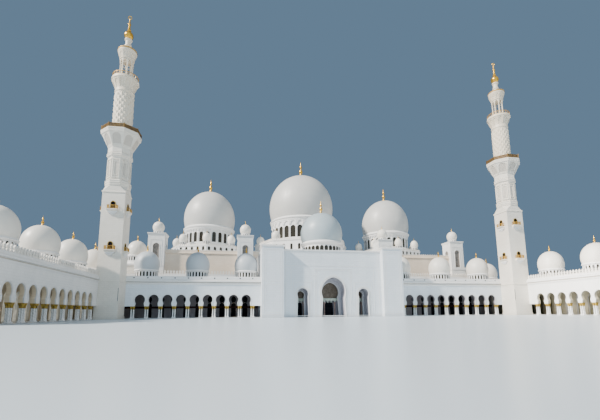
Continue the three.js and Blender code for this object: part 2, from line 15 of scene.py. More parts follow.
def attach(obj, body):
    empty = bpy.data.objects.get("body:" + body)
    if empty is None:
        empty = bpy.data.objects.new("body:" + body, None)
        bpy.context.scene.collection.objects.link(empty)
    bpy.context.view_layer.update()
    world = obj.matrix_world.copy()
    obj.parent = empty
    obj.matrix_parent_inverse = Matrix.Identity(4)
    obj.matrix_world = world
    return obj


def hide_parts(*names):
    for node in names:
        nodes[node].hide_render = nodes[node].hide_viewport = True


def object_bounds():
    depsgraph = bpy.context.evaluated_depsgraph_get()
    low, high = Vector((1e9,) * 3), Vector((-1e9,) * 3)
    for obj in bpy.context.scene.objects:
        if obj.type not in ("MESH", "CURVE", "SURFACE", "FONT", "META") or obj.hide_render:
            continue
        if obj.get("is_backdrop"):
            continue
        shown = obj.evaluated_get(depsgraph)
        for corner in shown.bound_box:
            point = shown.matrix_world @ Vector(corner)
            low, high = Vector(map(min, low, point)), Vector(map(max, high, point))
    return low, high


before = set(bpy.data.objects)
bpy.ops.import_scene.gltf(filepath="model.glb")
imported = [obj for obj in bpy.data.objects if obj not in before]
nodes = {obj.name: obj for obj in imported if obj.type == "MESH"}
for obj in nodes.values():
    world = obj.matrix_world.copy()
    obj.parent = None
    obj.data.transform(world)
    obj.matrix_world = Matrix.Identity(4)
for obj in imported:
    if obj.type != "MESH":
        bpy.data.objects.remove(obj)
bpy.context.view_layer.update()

# %% [markdown]
# ## One way to make shapes
# Masonry is made of a few kinds of shape: blocks, turned rings, flat slabs with openings, and mouldings
# that run along an edge. A small class collects such shapes as points and faces, all of them closed and
# facing outwards, and then makes one mesh of them. That keeps each piece of the building short to write.

# %% A collector of closed shapes
class Stone:
    """Closed shapes of one material, gathered in the building's own frame."""

    def __init__(self):
        self.points, self.faces, self.maps = [], [], []

    def add(self, points, faces, maps=None):
        start = len(self.points)
        self.points += [tuple(point) for point in points]
        self.faces += [[start + i for i in face] for face in faces]
        self.maps += maps or [[(0.0, 0.0)] * len(face) for face in faces]
        return self

    def take(self, other, place=Matrix.Identity(4)):
        """Adds another collector's shapes, moved by a rigid place."""
        return self.add([place @ Vector(p) for p in other.points], other.faces, other.maps)

    def take_mesh(self, mesh):
        return self.add([v.co for v in mesh.vertices], [list(p.vertices) for p in mesh.polygons])

    def mirrored(self):
        """The same shapes on the other side of the portal's axis."""
        twin = Stone()
        twin.points = [(-x, y, z) for x, y, z in self.points]
        twin.faces = [face[::-1] for face in self.faces]
        twin.maps = [uvs[::-1] for uvs in self.maps]
        return twin

    def block(self, xs, ys, zs):
        (x0, x1), (y0, y1), (z0, z1) = sorted(xs), sorted(ys), sorted(zs)
        points = [(x, y, z) for z in (z0, z1) for y in (y0, y1) for x in (x0, x1)]
        faces = [(0, 2, 3, 1), (4, 5, 7, 6), (0, 1, 5, 4), (2, 6, 7, 3), (0, 4, 6, 2), (1, 3, 7, 5)]
        return self.add(points, faces)


print("collector ready")

# %% Turned shapes
def turned(self, profile, sides, centre=(0.0, 0.0), first=0.0):
    """Turns (radius, height) points, listed upwards on the outside; off the axis they close on themselves."""
    rows, points, run, length = [], [], [], 0.0
    for i, (radius, height) in enumerate(profile):
        if i:
            length += math.dist(profile[i - 1], profile[i])
        run.append(length)
        count = sides if radius > 1e-6 else 1
        rows.append([len(points) + k % count for k in range(sides + 1)])
        for k in range(count):
            angle = first + 2 * math.pi * k / sides
            across, back = radius * math.sin(angle), radius * math.cos(angle)
            points.append((centre[0] + across, centre[1] - back, height))
    last = len(profile) if profile[0][0] > 1e-6 else len(profile) - 1
    widest = max(radius for radius, _ in profile)
    faces, maps = [], []
    for i in range(last):
        low, high = rows[i], rows[(i + 1) % len(rows)]
        v0, v1 = run[i], run[i + 1] if i + 1 < len(run) else length + math.dist(profile[-1], profile[0])
        for k in range(sides):
            u0, u1 = (2 * math.pi * widest * j / sides for j in (k, k + 1))
            corners = [(low[k], (u0, v0)), (low[k + 1], (u1, v0)), (high[k + 1], (u1, v1)),
                       (high[k], (u0, v1))]
            kept = [c for n, c in enumerate(corners) if c[0] != corners[n - 1][0]]
            faces.append([c[0] for c in kept])
            maps.append([c[1] for c in kept])
    return self.add(points, faces, maps)


Stone.turned = turned
print("turned shapes ready")

# %% Flat shapes with openings, and mouldings
def wound(loop, upwards):
    """A loop of 2-D points, anticlockwise if upwards is true."""
    area = sum(a[0] * b[1] - b[0] * a[1] for a, b in zip(loop, loop[1:] + loop[:1]))
    return loop if (area > 0) == upwards else loop[::-1]


def slab(self, outline, place, depth, holes=()):
    """A flat shape in the place's x and y, reaching `depth` back along its -z."""
    loops = [wound(list(outline), True)] + [wound(list(hole), False) for hole in holes]
    flat = [point for loop in loops for point in loop]
    count = len(flat)
    points = [place @ Vector((x, y, z)) for z in (0.0, -depth) for x, y in flat]
    faces = []
    for a, b, c in tessellate_polygon([[Vector((x, y, 0)) for x, y in loop] for loop in loops]):
        (ax, ay), (bx, by), (cx, cy) = flat[a], flat[b], flat[c]
        if (bx - ax) * (cy - ay) - (cx - ax) * (by - ay) < 0:
            b, c = c, b
        faces += [(a, b, c), (count + a, count + c, count + b)]
    start = 0
    for loop in loops:
        for i in range(len(loop)):
            j = (i + 1) % len(loop)
            faces.append((start + i, count + start + i, count + start + j, start + j))
        start += len(loop)
    return self.add(points, faces)


def moulding(self, path, profile, closed=True):
    """Sweeps (out, up) points, anticlockwise, along level (x, y) points; out is to the right of the path."""
    path = [Vector(point) for point in path]
    count, rise = len(path), len(profile)
    points = []
    for i, here in enumerate(path):
        before = (here - path[i - 1]).normalized() if closed or i else None
        after = (path[(i + 1) % count] - here).normalized() if closed or i < count - 1 else None
        before, after = before or after, after or before
        outs = [Vector((way.y, -way.x)) for way in (before, after)]
        mitre = (outs[0] + outs[1]) / (1 + outs[0].dot(outs[1]))
        points += [(here.x + mitre.x * out, here.y + mitre.y * out, up) for out, up in profile]
    faces = []
    for i in range(count if closed else count - 1):
        a, b = i * rise, ((i + 1) % count) * rise
        faces += [(a + j, b + j, b + (j + 1) % rise, a + (j + 1) % rise) for j in range(rise)]
    if not closed:
        faces += [tuple(range(rise)), tuple(range(count * rise - 1, (count - 1) * rise - 1, -1))]
    return self.add(points, faces)


Stone.slab, Stone.moulding = slab, moulding
print("slabs and mouldings ready")

# %% Outlines and profiles
def box(x0, x1, z0, z1):
    """A rectangle's corners, anticlockwise."""
    return [(x0, z0), (x1, z0), (x1, z1), (x0, z1)]


def profile(inner, *steps):
    """Steps listed upwards, closed level at both ends back to an inner radius or depth."""
    return [(inner, steps[0][1]), *steps, (inner, steps[-1][1])]


def rim(inner, outer):
    """The band between two outlines that share a foot."""
    return outer + inner[::-1]


def prism(radius, sides, first=0.0, centre=(0.0, 0.0)):
    """Corners of a level polygon, anticlockwise."""
    angles = [first + 2 * math.pi * k / sides for k in range(sides)]
    return [(centre[0] + radius * math.sin(a), centre[1] - radius * math.cos(a)) for a in angles]


def side_of(radius, sides):
    """Half the width of one side of a polygon, and the side's distance from the middle."""
    return radius * math.sin(math.pi / sides), radius * math.cos(math.pi / sides)


print("an octagon's side:", side_of(1.0, 8))

# %% Places
def facing(x, y, z, along):
    """A place whose x runs level along a direction, whose y is up and whose z looks out of the wall."""
    along = Vector(along).normalized()
    up = Vector((0, 0, 1))
    turned_to = Matrix((along, up, along.cross(up))).transposed().to_4x4()
    return Matrix.Translation((x, y, z)) @ turned_to


def front(y=0.0):
    """A place on a wall that looks to the front."""
    return facing(0, y, 0, (1, 0, 0))


def shift(x=0.0, y=0.0, z=0.0):
    return Matrix.Translation((x, y, z))


def quarters(stone, count=4):
    """The same shapes on every face of a shaft."""
    whole = Stone()
    for k in range(count):
        whole.take(stone, Matrix.Rotation(2 * math.pi * k / count, 4, "Z"))
    return whole


print("a wall that looks to the front has its z along", [round(v) for v in front().col[2]])

# %% From a collector to a piece of the building
SHARP_FROM = math.radians(32)


def make_mesh(stone, name):
    mesh = bpy.data.meshes.new(name)
    mesh.from_pydata(stone.points, [], stone.faces)
    layer = mesh.uv_layers.new(name="surface")
    layer.data.foreach_set("uv", [c for uvs in stone.maps for uv in uvs for c in uv])
    mesh.shade_smooth()
    mesh.set_sharp_from_angle(angle=SHARP_FROM)
    return mesh


def piece(name, mesh, material, replaced):
    """Stands a finished mesh in the building, in place of the frame nodes that it replaces."""
    mesh.name = name
    mesh.materials.clear()
    mesh.materials.append(material)
    made = bpy.data.objects.new(name, mesh)
    bpy.context.scene.collection.objects.link(made)
    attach(made, "root")
    if replaced:
        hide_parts(*replaced)
    print(f"{name}: {sum(len(p.vertices) - 2 for p in mesh.polygons)} triangles")


def build(name, stone, material, replaced=()):
    piece(name, make_mesh(stone, name), material, replaced)


def on_both_sides(name, stone, finish, replaced=()):
    """A piece on the right and its mirror image on the left, in one finish or in a pair of them."""
    finishes = finish if isinstance(finish, tuple) else (finish, finish)
    for side, shapes, material in zip(("right", "left"), (stone, stone.mirrored()), finishes):
        build(f"{side}_{name}", shapes, material, [f"{side}_{node}" for node in replaced])


# %% [markdown]
# ## Effects that every stone shares
# White cladding is never one flat tone: each slab differs a little, joints draw fine lines, rain leaves
# faint streaks, and dust gathers at the foot of the walls. Each effect is a shader node group that is built
# once, with named inputs, and placed in every material that needs it. Groups only put out masks and
# heights; the shader itself stays in the material.

# %% Two helpers for nodes
def place(tree, kind, inputs, **settings):
    """Adds a node, gives it its settings, and joins or fills its inputs."""
    node = tree.nodes.new(kind)
    for name, value in settings.items():
        setattr(node, name, value)
    for name, value in inputs.items():
        if isinstance(value, bpy.types.NodeSocket):
            tree.links.new(value, node.inputs[name])
        else:
            node.inputs[name].default_value = value
    return node


def maths(tree, operation, *values):
    """The result of one sum on numbers that change over the surface."""
    return place(tree, "ShaderNodeMath", dict(enumerate(values)), operation=operation).outputs[0]


def between(tree, factor, first, second):
    """A colour that goes from the first to the second as the factor rises."""
    return place(tree, "ShaderNodeMix", {0: factor, 6: first, 7: second}, data_type="RGBA").outputs[2]


def ramp(tree, value, low, high, start, end):
    """Maps a range of values on another, and stops at its ends."""
    ends = {"Value": value, "From Min": low, "From Max": high, "To Min": start, "To Max": end}
    return place(tree, "ShaderNodeMapRange", ends).outputs[0]


def group(name, inputs, outputs):
    """An empty shader group with its sockets; returns the tree, its inputs and its outputs."""
    tree = bpy.data.node_groups.new(name, "ShaderNodeTree")
    for label, value in inputs.items():
        kind = "NodeSocketVector" if value is None else "NodeSocketFloat"
        socket = tree.interface.new_socket(label, in_out="INPUT", socket_type=kind)
        if value is not None:
            socket.default_value = value
    for label in outputs:
        tree.interface.new_socket(label, in_out="OUTPUT", socket_type="NodeSocketFloat")
    return tree, tree.nodes.new("NodeGroupInput").outputs, tree.nodes.new("NodeGroupOutput")


print("node helpers ready")

# %% Slabs and their joints
courses, given, found = group("Courses", {"Vector": None, "Length": 0.12, "Height": 0.06, "Gap": 0.002},
                              ["Joint", "Tone"])
slabs = place(courses, "ShaderNodeTexBrick", {
    "Vector": given["Vector"], "Color1": (0, 0, 0, 1), "Color2": (1, 1, 1, 1), "Mortar": (0.5, 0.5, 0.5, 1),
    "Scale": 1.0, "Mortar Size": given["Gap"], "Mortar Smooth": 0.3, "Brick Width": given["Length"],
    "Row Height": given["Height"]}, offset=0.5)
courses.links.new(slabs.outputs["Fac"], found.inputs["Joint"])
courses.links.new(slabs.outputs["Color"], found.inputs["Tone"])
print("courses:", [socket.name for socket in courses.interface.items_tree])

# %% Patches and rain streaks
weather, given, found = group("Weather", {"Vector": None, "Patch": 1.5, "Streak": 7.0}, ["Mask"])
patches = place(weather, "ShaderNodeTexNoise", {
    "Vector": given["Vector"], "Scale": given["Patch"], "Detail": 5.0})
drawn = place(weather, "ShaderNodeVectorMath", {0: given["Vector"], 1: (1.0, 1.0, 0.09)},
              operation="MULTIPLY")
streaks = place(weather, "ShaderNodeTexNoise", {
    "Vector": drawn.outputs[0], "Scale": given["Streak"], "Detail": 4.0})
both = maths(weather, "ADD", maths(weather, "MULTIPLY", patches.outputs[0], 0.6),
             maths(weather, "MULTIPLY", streaks.outputs[0], 0.4))
weather.links.new(ramp(weather, both, 0.36, 0.64, 0.0, 1.0), found.inputs["Mask"])
print("weather:", [socket.name for socket in weather.interface.items_tree])

# %% Dust near the ground
footing, given, found = group("Footing", {"Vector": None, "Reach": 0.16}, ["Mask"])
height = place(footing, "ShaderNodeSeparateXYZ", {0: given["Vector"]}).outputs[2]
ragged = place(footing, "ShaderNodeTexNoise", {
    "Vector": given["Vector"], "Scale": 9.0, "Detail": 4.0}).outputs[0]
edge = maths(footing, "MULTIPLY", given["Reach"], maths(footing, "ADD", ragged, 0.4))
dusty = ramp(footing, maths(footing, "DIVIDE", height, edge), 0.0, 1.0, 1.0, 0.0)
footing.links.new(dusty, found.inputs["Mask"])
print("footing:", [socket.name for socket in footing.interface.items_tree])

# %% Leaf and petal carving
carving, given, found = group("Carving", {"Vector": None, "Size": 0.06}, ["Height"])
scale = maths(carving, "DIVIDE", 1.0, given["Size"])
petals = place(carving, "ShaderNodeTexVoronoi", {
    "Vector": given["Vector"], "Scale": scale, "Smoothness": 0.35}, feature="SMOOTH_F1").outputs["Distance"]
stems = place(carving, "ShaderNodeTexWave", {
    "Vector": given["Vector"], "Scale": maths(carving, "MULTIPLY", scale, 0.35), "Distortion": 9.0,
    "Detail": 1.0, "Detail Scale": 1.4}, wave_type="RINGS", wave_profile="SIN").outputs["Fac"]
leaf = ramp(carving, petals, 0.18, 0.5, 1.0, 0.0)
stem = ramp(carving, stems, 0.8, 0.95, 0.0, 1.0)
raised = maths(carving, "MAXIMUM", leaf, maths(carving, "MULTIPLY", stem, 0.6))
carving.links.new(raised, found.inputs["Height"])
print("carving:", [socket.name for socket in carving.interface.items_tree])

# %% [markdown]
# ## The finishes
# One function makes every marble, because they differ only in values: two tones of the stone, the size of
# its slabs, how deep its joints and its carving are, and how polished it is. Walls are mapped by their
# place in the building, with x + y running along any wall, so that slabs line up from piece to piece. A dome
# has no such straight direction, so its slabs follow its own UV map, which runs round it and up it.
# Several finishes are lit and shaded copies of one stone: they paint sunlight and shade into their parts of
# the building.

# %% What every finish starts and ends with
def effect(tree, shared, inputs):
    """Places a shader group in a material, with its own values."""
    return place(tree, "ShaderNodeGroup", inputs, node_tree=shared).outputs


def finish(name, slot):
    """An empty material; the slot argument is not used. Returns it with its tree and the place on the
    surface.
    """
    material = bpy.data.materials.new(name)
    material.use_nodes = True
    tree = material.node_tree
    return material, tree, place(tree, "ShaderNodeTexCoord", {}).outputs["Object"]


def dress(tree, colour, rough, high=None, strength=0.8):
    """Feeds the shader with what changes over the surface, and returns its inputs."""
    inputs = tree.nodes["Principled BSDF"].inputs
    tree.links.new(colour, inputs["Base Color"])
    tree.links.new(rough, inputs["Roughness"])
    if high is not None:
        bump = place(tree, "ShaderNodeBump", {"Height": high, "Distance": 1.0, "Strength": strength})
        tree.links.new(bump.outputs[0], inputs["Normal"])
    return inputs


print("finish helpers ready")

# %% Marble
JOINT, DIRT = (0.3, 0.29, 0.27, 1), (0.32, 0.3, 0.27, 1)
JOINT_DEPTH, TONE_SHARE = 0.0012, 0.3


def marble(name, light, deep, slot="white_marble", rough=0.45, slab_size=(0.12, 0.06), gap=0.002, lines=0.25,
           mottle=0.5, carved=0.0, petal=0.06, dust=0.35, around=False):
    """White stone in slabs; `carved` is the depth of its relief in metres."""
    material, tree, here = finish(name, slot)
    light, deep = (*light, 1), (*deep, 1)
    if around:
        face = place(tree, "ShaderNodeUVMap", {}, uv_map="surface").outputs[0]
    else:
        x, y, z = place(tree, "ShaderNodeSeparateXYZ", {0: here}).outputs
        face = place(tree, "ShaderNodeCombineXYZ", {0: maths(tree, "ADD", x, y), 1: z}).outputs[0]
    length, height = slab_size
    joint, tone = effect(tree, courses, {"Vector": face, "Length": length, "Height": height, "Gap": gap})
    patch = effect(tree, weather, {"Vector": here})[0]
    foot = effect(tree, footing, {"Vector": here})[0]
    relief = effect(tree, carving, {"Vector": here, "Size": petal})[0]
    colour = light
    for mask, share, tint in ((patch, mottle, deep), (tone, TONE_SHARE, deep), (joint, lines, JOINT),
                              (foot, dust, DIRT)):
        colour = between(tree, maths(tree, "MULTIPLY", mask, share), colour, tint)
    high = maths(tree, "SUBTRACT", maths(tree, "MULTIPLY", relief, carved),
                 maths(tree, "MULTIPLY", joint, JOINT_DEPTH))
    dress(tree, colour, ramp(tree, patch, 0.0, 1.0, rough - 0.07, rough + 0.1), high)
    return material


BIG_SLABS = {"slab_size": (0.15, 0.075)}
DOME = {"slot": "dome_marble", "rough": 0.42, "slab_size": (0.5, 0.16), "gap": 0.003, "lines": 0.12,
        "mottle": 0.35, "dust": 0.0, "around": True}
TRIM = {"slot": "carved_marble", "dust": 0.2}
white_wall = marble("White marble wall", (0.87, 0.865, 0.84), (0.74, 0.735, 0.715), carved=0.0012, petal=0.09)
# The portal marble's blue tint is painted shade under a blue sky; it also dresses the front arcade walls and
# the portal's piers.
blue_shade_wall = marble("Portal marble with painted blue shade", (0.79, 0.83, 0.86), (0.68, 0.73, 0.77), carved=0.0035, petal=0.12,
                     mottle=0.7, **BIG_SLABS)
# The soffit marble is a dark grey copy of the white stone: painted shade inside the portal's arches.
soffit_shade_stone = marble("Arch soffit marble with painted shade", (0.47, 0.46, 0.5), (0.37, 0.36, 0.4), carved=0.002, petal=0.05,
                      **BIG_SLABS)
# The two gallery marbles are a lit and a shaded copy of one stone: painted sunlight in the left gallery,
# painted shade in the right one.
sunlit_gallery_stone = marble("Left gallery marble with painted sunlight", (0.84, 0.7, 0.5), (0.62, 0.5, 0.34), carved=0.003, petal=0.07)
shaded_gallery_stone = marble("Right gallery marble with painted shade", (0.66, 0.6, 0.45), (0.36, 0.33, 0.22), carved=0.003, petal=0.07,
                     mottle=0.9)
# The recess marble is a darker copy of the stone: painted shade in grooves, sunk slots and hollows.
painted_recess_shade = marble("Recess marble with painted shade", (0.6, 0.55, 0.48), (0.48, 0.44, 0.38), "carved_marble", lines=0.0,
                     carved=0.002, petal=0.04)
ivory_stone = marble("Minaret marble", (0.82, 0.77, 0.68), (0.68, 0.63, 0.54), "carved_marble", carved=0.002)
honey_stone = marble("Upper minaret marble", (0.8, 0.71, 0.57), (0.66, 0.57, 0.43), carved=0.002)
hall_wall = marble("Hall marble", (0.84, 0.71, 0.57), (0.68, 0.54, 0.41), "carved_marble",
                   slab_size=(0.16, 0.08))
dome_stone = marble("Dome marble", (0.58, 0.57, 0.54), (0.49, 0.48, 0.455), **DOME)
# The portal dome marble is a darker blue copy of the dome marble: painted shade.
portal_dome_shade_stone = marble("Portal dome marble with painted shade", (0.4, 0.47, 0.5), (0.34, 0.4, 0.425), **DOME)
# The sunlit dome marble is a lighter copy of the dome marble: painted sunlight on the small domes, except the
# left front ones, and on the turrets' and towers' domes.
sunlit_dome_stone = marble("Sunlit dome marble", (0.84, 0.8, 0.72), (0.76, 0.72, 0.64), **DOME)
# A darker blue copy of the dome marble: painted shade on the left front small domes.
shaded_front_dome_stone = marble("Left front dome marble with painted shade", (0.54, 0.58, 0.61), (0.47, 0.51, 0.54), **DOME)
carved_stone = marble("Carved marble", (0.85, 0.81, 0.74), (0.66, 0.62, 0.55), rough=0.5, lines=0.0,
                      carved=0.004, petal=0.03, **TRIM)
plain_stone = marble("Moulded marble", (0.84, 0.83, 0.81), (0.74, 0.73, 0.71), rough=0.42,
                     slab_size=(0.2, 1.0), lines=0.2, **TRIM)
# The arcade interior marble is dark: painted shade on the front soffits, back walls, blind arches and the
# portal screen.
shaded_stone = marble("Arcade interior marble", (0.3, 0.275, 0.29), (0.19, 0.17, 0.185), rough=0.7,
                      slab_size=(0.14, 0.07), carved=0.001, dust=0.2)
floor_stone = marble("Floor marble", (0.6, 0.6, 0.59), (0.5, 0.5, 0.49), rough=0.22, slab_size=(0.2, 0.2),
                     dust=0.0)
print("marbles:", len(bpy.data.materials))

# %% Metal, glass, bronze and painted bands
def coloured(name, light, deep, slot, rough, metal=0.0, grain=40.0, rise=0.0006, sheen=0.5, glow=0.0):
    """A finish whose colour and gloss drift from one tone to another over a fine grain."""
    material, tree, here = finish(name, slot)
    mask = effect(tree, weather, {"Vector": here, "Patch": grain * 0.3, "Streak": grain})[0]
    beaten = place(tree, "ShaderNodeTexVoronoi", {"Vector": here, "Scale": grain * 2}).outputs["Distance"]
    tone = between(tree, mask, (*light, 1), (*deep, 1))
    gloss = ramp(tree, mask, 0.0, 1.0, rough * 0.8, rough * 1.25)
    inputs = dress(tree, tone, gloss, maths(tree, "MULTIPLY", beaten, rise), 0.7)
    # A glow above zero makes the finish give off its own tone: painted light, used only by the left gallery's
    # glazing.
    tree.links.new(tone, inputs["Emission Color"])
    for label, value in (("Metallic", metal), ("Specular IOR Level", sheen), ("Emission Strength", glow)):
        inputs[label].default_value = value
    return material


FINE = {"slot": "gilding", "grain": 60.0}
PANE = {"slot": "dark_glass", "grain": 30.0, "sheen": 0.2}
gold = coloured("Gilding", (0.82, 0.5, 0.07), (0.55, 0.28, 0.03), "gilding", 0.32, metal=0.9)
old_gold = coloured("Gilded capital", (0.56, 0.38, 0.055), (0.13, 0.075, 0.012), rough=0.48, metal=0.4,
                    rise=0.002, **FINE)
rail_gold = coloured("Gilded rail", (0.7, 0.42, 0.08), (0.3, 0.15, 0.03), rough=0.5, metal=0.3, **FINE)
dull_gold = coloured("Dark gallery rail", (0.34, 0.2, 0.06), (0.08, 0.045, 0.018), rough=0.45, metal=0.5,
                     **FINE)
glass = coloured("Dark glazing", (0.04, 0.036, 0.026), (0.016, 0.014, 0.01), "dark_glass", 0.3, grain=12.0,
                 rise=0.0002, sheen=0.25)
# The gallery glazings are a shaded and a lit copy: painted shade on the right; painted sunlight on the left,
# which also glows a little though it is no lamp.
shaded_gallery_glass = coloured("Right gallery glazing with painted shade", (0.32, 0.3, 0.21), (0.1, 0.1, 0.06), rough=0.45, **PANE)
sunlit_gallery_glass = coloured("Left gallery glazing with painted sunlight", (0.72, 0.68, 0.58), (0.3, 0.31, 0.26), rough=0.45, glow=0.5,
                       **PANE)
maroon = coloured("Maroon band", (0.05, 0.014, 0.011), (0.02, 0.006, 0.005), "carved_marble", 0.7, grain=24.0,
                  sheen=0.15)
bronze = coloured("Bronze lattice", (0.2, 0.15, 0.11), (0.1, 0.075, 0.055), "dark_glass", 0.45, metal=0.5)
# The niche back is a dark brownish stone: painted shade in the towers' deep niches.
painted_niche_shade = coloured("Niche back with painted shade", (0.3, 0.27, 0.24), (0.16, 0.14, 0.125), "carved_marble", 0.6)
# Near black: the doors' own dark leaves, and painted shade in the spouts' mouths and the minaret's slit.
dark_door_and_shade = coloured("Dark door leaf and painted shade", (0.008, 0.008, 0.011), (0.003, 0.003, 0.005), "dark_glass", 0.8,
                     sheen=0.08)
rosy_stone = coloured("Rosy door column", (0.36, 0.24, 0.2), (0.22, 0.14, 0.12), "floor_marble", 0.35,
                      rise=0.0002)
celadon = coloured("Scalloped band marble", (0.62, 0.66, 0.56), (0.36, 0.4, 0.33), "carved_marble", 0.5,
                   grain=30.0, rise=0.002)
print("finishes:", len(bpy.data.materials))

# %% [markdown]
# ## Columns with inlaid flowers
# The arcade's columns are white marble with vines and petals of coloured stone set flush into it. The eye
# only catches them as fine specks, so a vine made of thin wave bands and small petals from a cell pattern
# is enough, with no bump at all, because inlay is polished level with the stone.

# %% Inlaid marble
inlaid, tree, here = finish("Inlaid column marble", "floor_marble")
mask = effect(tree, weather, {"Vector": here, "Patch": 3.0, "Streak": 12.0})[0]
stone = between(tree, mask, (0.86, 0.86, 0.85, 1), (0.72, 0.72, 0.71, 1))
vine = place(tree, "ShaderNodeTexWave", {"Vector": here, "Scale": 9.0, "Distortion": 7.0, "Detail": 1.0},
             wave_type="BANDS", bands_direction="DIAGONAL").outputs["Fac"]
cells = place(tree, "ShaderNodeTexVoronoi", {"Vector": here, "Scale": 42.0})
stone = between(tree, ramp(tree, vine, 0.94, 0.99, 0.0, 0.55), stone, (0.16, 0.2, 0.13, 1))
petal_tone = between(tree, cells.outputs["Color"], (0.35, 0.16, 0.13, 1), (0.12, 0.15, 0.3, 1))
stone = between(tree, ramp(tree, cells.outputs["Distance"], 0.12, 0.2, 0.5, 0.0), stone, petal_tone)
dress(tree, stone, ramp(tree, mask, 0.0, 1.0, 0.14, 0.26))
print("inlaid marble nodes:", len(tree.nodes))

# %% [markdown]
# ## Repeating a piece
# Parapet leaves, drum windows, columns and rails are one shape many times over, in rows, in rings, or in
# rows that climb. One Geometry Nodes tree covers them all: it counts points, works out the place and turn of
# each from its number, and stands the piece there. With "Both sides" it also stands a mirrored copy
# on the other side of the portal's axis, which is how the whole building is laid out.

# %% The tree
repeat = bpy.data.node_groups.new("Repeat", "GeometryNodeTree")
repeat.interface.new_socket("Geometry", in_out="OUTPUT", socket_type="NodeSocketGeometry")
sizes = {"Piece": "Object", "Material": "Material", "Count": "Int", "Per row": "Int", "Start": "Vector",
         "Step": "Vector", "Rise": "Vector", "Turn": "Float", "Turn step": "Float", "Stagger": "Float",
         "Both sides": "Bool"}
socket_ids = {}
for label, kind in sizes.items():
    socket = repeat.interface.new_socket(label, in_out="INPUT", socket_type="NodeSocket" + kind)
    socket_ids[label] = socket.identifier
given = repeat.nodes.new("NodeGroupInput").outputs
index = place(repeat, "GeometryNodeInputIndex", {}).outputs[0]
row = maths(repeat, "FLOOR", maths(repeat, "DIVIDE", maths(repeat, "ADD", index, 0.5), given["Per row"]))
spot = maths(repeat, "SUBTRACT", index, maths(repeat, "MULTIPLY", row, given["Per row"]))


def vector(operation, first, second):
    key = "Scale" if operation == "SCALE" else 1
    return place(repeat, "ShaderNodeVectorMath", {0: first, key: second}, operation=operation).outputs[0]


along = vector("ADD", vector("SCALE", given["Step"], spot), vector("SCALE", given["Rise"], row))
where = vector("ADD", given["Start"], along)
swing = maths(repeat, "ADD", maths(repeat, "MULTIPLY", given["Turn step"], spot),
              maths(repeat, "MULTIPLY", given["Stagger"], row))
angle = maths(repeat, "ADD", given["Turn"], swing)
print("a point's place comes from its number")

# %% Standing the piece on the points
def stood(spots, turn, shape):
    """Stands a shape on every point, turned about the upright."""
    points = place(repeat, "GeometryNodePoints", {"Count": given["Count"], "Position": spots}).outputs[0]
    euler = place(repeat, "ShaderNodeCombineXYZ", {2: turn}).outputs[0]
    rotation = place(repeat, "FunctionNodeEulerToRotation", {0: euler}).outputs[0]
    copies = {"Points": points, "Instance": shape, "Rotation": rotation}
    return place(repeat, "GeometryNodeInstanceOnPoints", copies).outputs[0]


model = place(repeat, "GeometryNodeObjectInfo", {"Object": given["Piece"]}).outputs["Geometry"]
flipped = place(repeat, "GeometryNodeTransform", {"Geometry": model, "Scale": (-1, 1, 1)}).outputs[0]
twin = place(repeat, "GeometryNodeFlipFaces", {0: flipped}).outputs[0]
other_side = stood(vector("MULTIPLY", where, (-1, 1, 1)), maths(repeat, "MULTIPLY", angle, -1.0), twin)
kept = place(repeat, "GeometryNodeSwitch", {"Switch": given["Both sides"], "True": other_side},
             input_type="GEOMETRY").outputs[0]
joined = place(repeat, "GeometryNodeJoinGeometry", {}).inputs[0]
for shapes in (stood(where, angle, model), kept):
    repeat.links.new(shapes, joined)
real = place(repeat, "GeometryNodeRealizeInstances", {0: joined.node.outputs[0]}).outputs[0]
dressed = place(repeat, "GeometryNodeSetMaterial", {"Geometry": real, "Material": given["Material"]})
place(repeat, "NodeGroupOutput", {0: dressed.outputs[0]})
print("tree nodes:", len(repeat.nodes), "inputs:", list(socket_ids))

# %% Using the tree
def run_repeat(name, source, material, inputs):
    """Runs the tree on a shape and returns its result as one plain mesh."""
    model = bpy.data.objects.new(name + "_source", make_mesh(source, name + "_source"))
    host = bpy.data.objects.new(name + "_host", bpy.data.meshes.new(name + "_host"))
    for made in (model, host):
        bpy.context.scene.collection.objects.link(made)
    modifier = host.modifiers.new("Repeat", "NODES")
    modifier.node_group = repeat
    filled = {"Piece": model, "Material": material, "Per row": inputs["Count"]} | inputs
    for label, value in filled.items():
        modifier[socket_ids[label]] = value
    graph = bpy.context.evaluated_depsgraph_get()
    mesh = bpy.data.meshes.new_from_object(host.evaluated_get(graph), depsgraph=graph)
    host.modifiers.clear()
    for made in (host, model):
        bpy.data.objects.remove(made)
    return mesh


def repeated(name, source, material, inputs, replaced=()):
    """Stands the tree's result in the building."""
    piece(name, run_repeat(name, source, material, inputs), material, replaced)


def line(count, start, step=(0, 0, 0), both=True, turn=None):
    """Tree inputs for a row whose pieces look to the right of its way, on one side or both."""
    turn = math.atan2(step[1], step[0]) if turn is None else turn
    return {"Count": count, "Start": start, "Step": step, "Turn": turn, "Both sides": both}


def circle(count, centre=(0, 0), turn=0.0):
    """Tree inputs for a ring round an upright axis."""
    return {"Count": count, "Start": (*centre, 0), "Turn": turn, "Turn step": 2 * math.pi / count}


print("a row of three:", line(3, (0, 0, 0), (1, 0, 0)))

# %% [markdown]
# ## Horseshoe arches
# Every opening of the building is a pointed horseshoe: the legs narrow a little at the neck, then two arcs
# swell out and meet in a soft point. One function gives its outline, so an opening, the ring around it and
# the pane behind it all come from the same values. A wall is then a flat shape whose foot dips round each
# arch, which gives smooth reveals without any boolean cut.

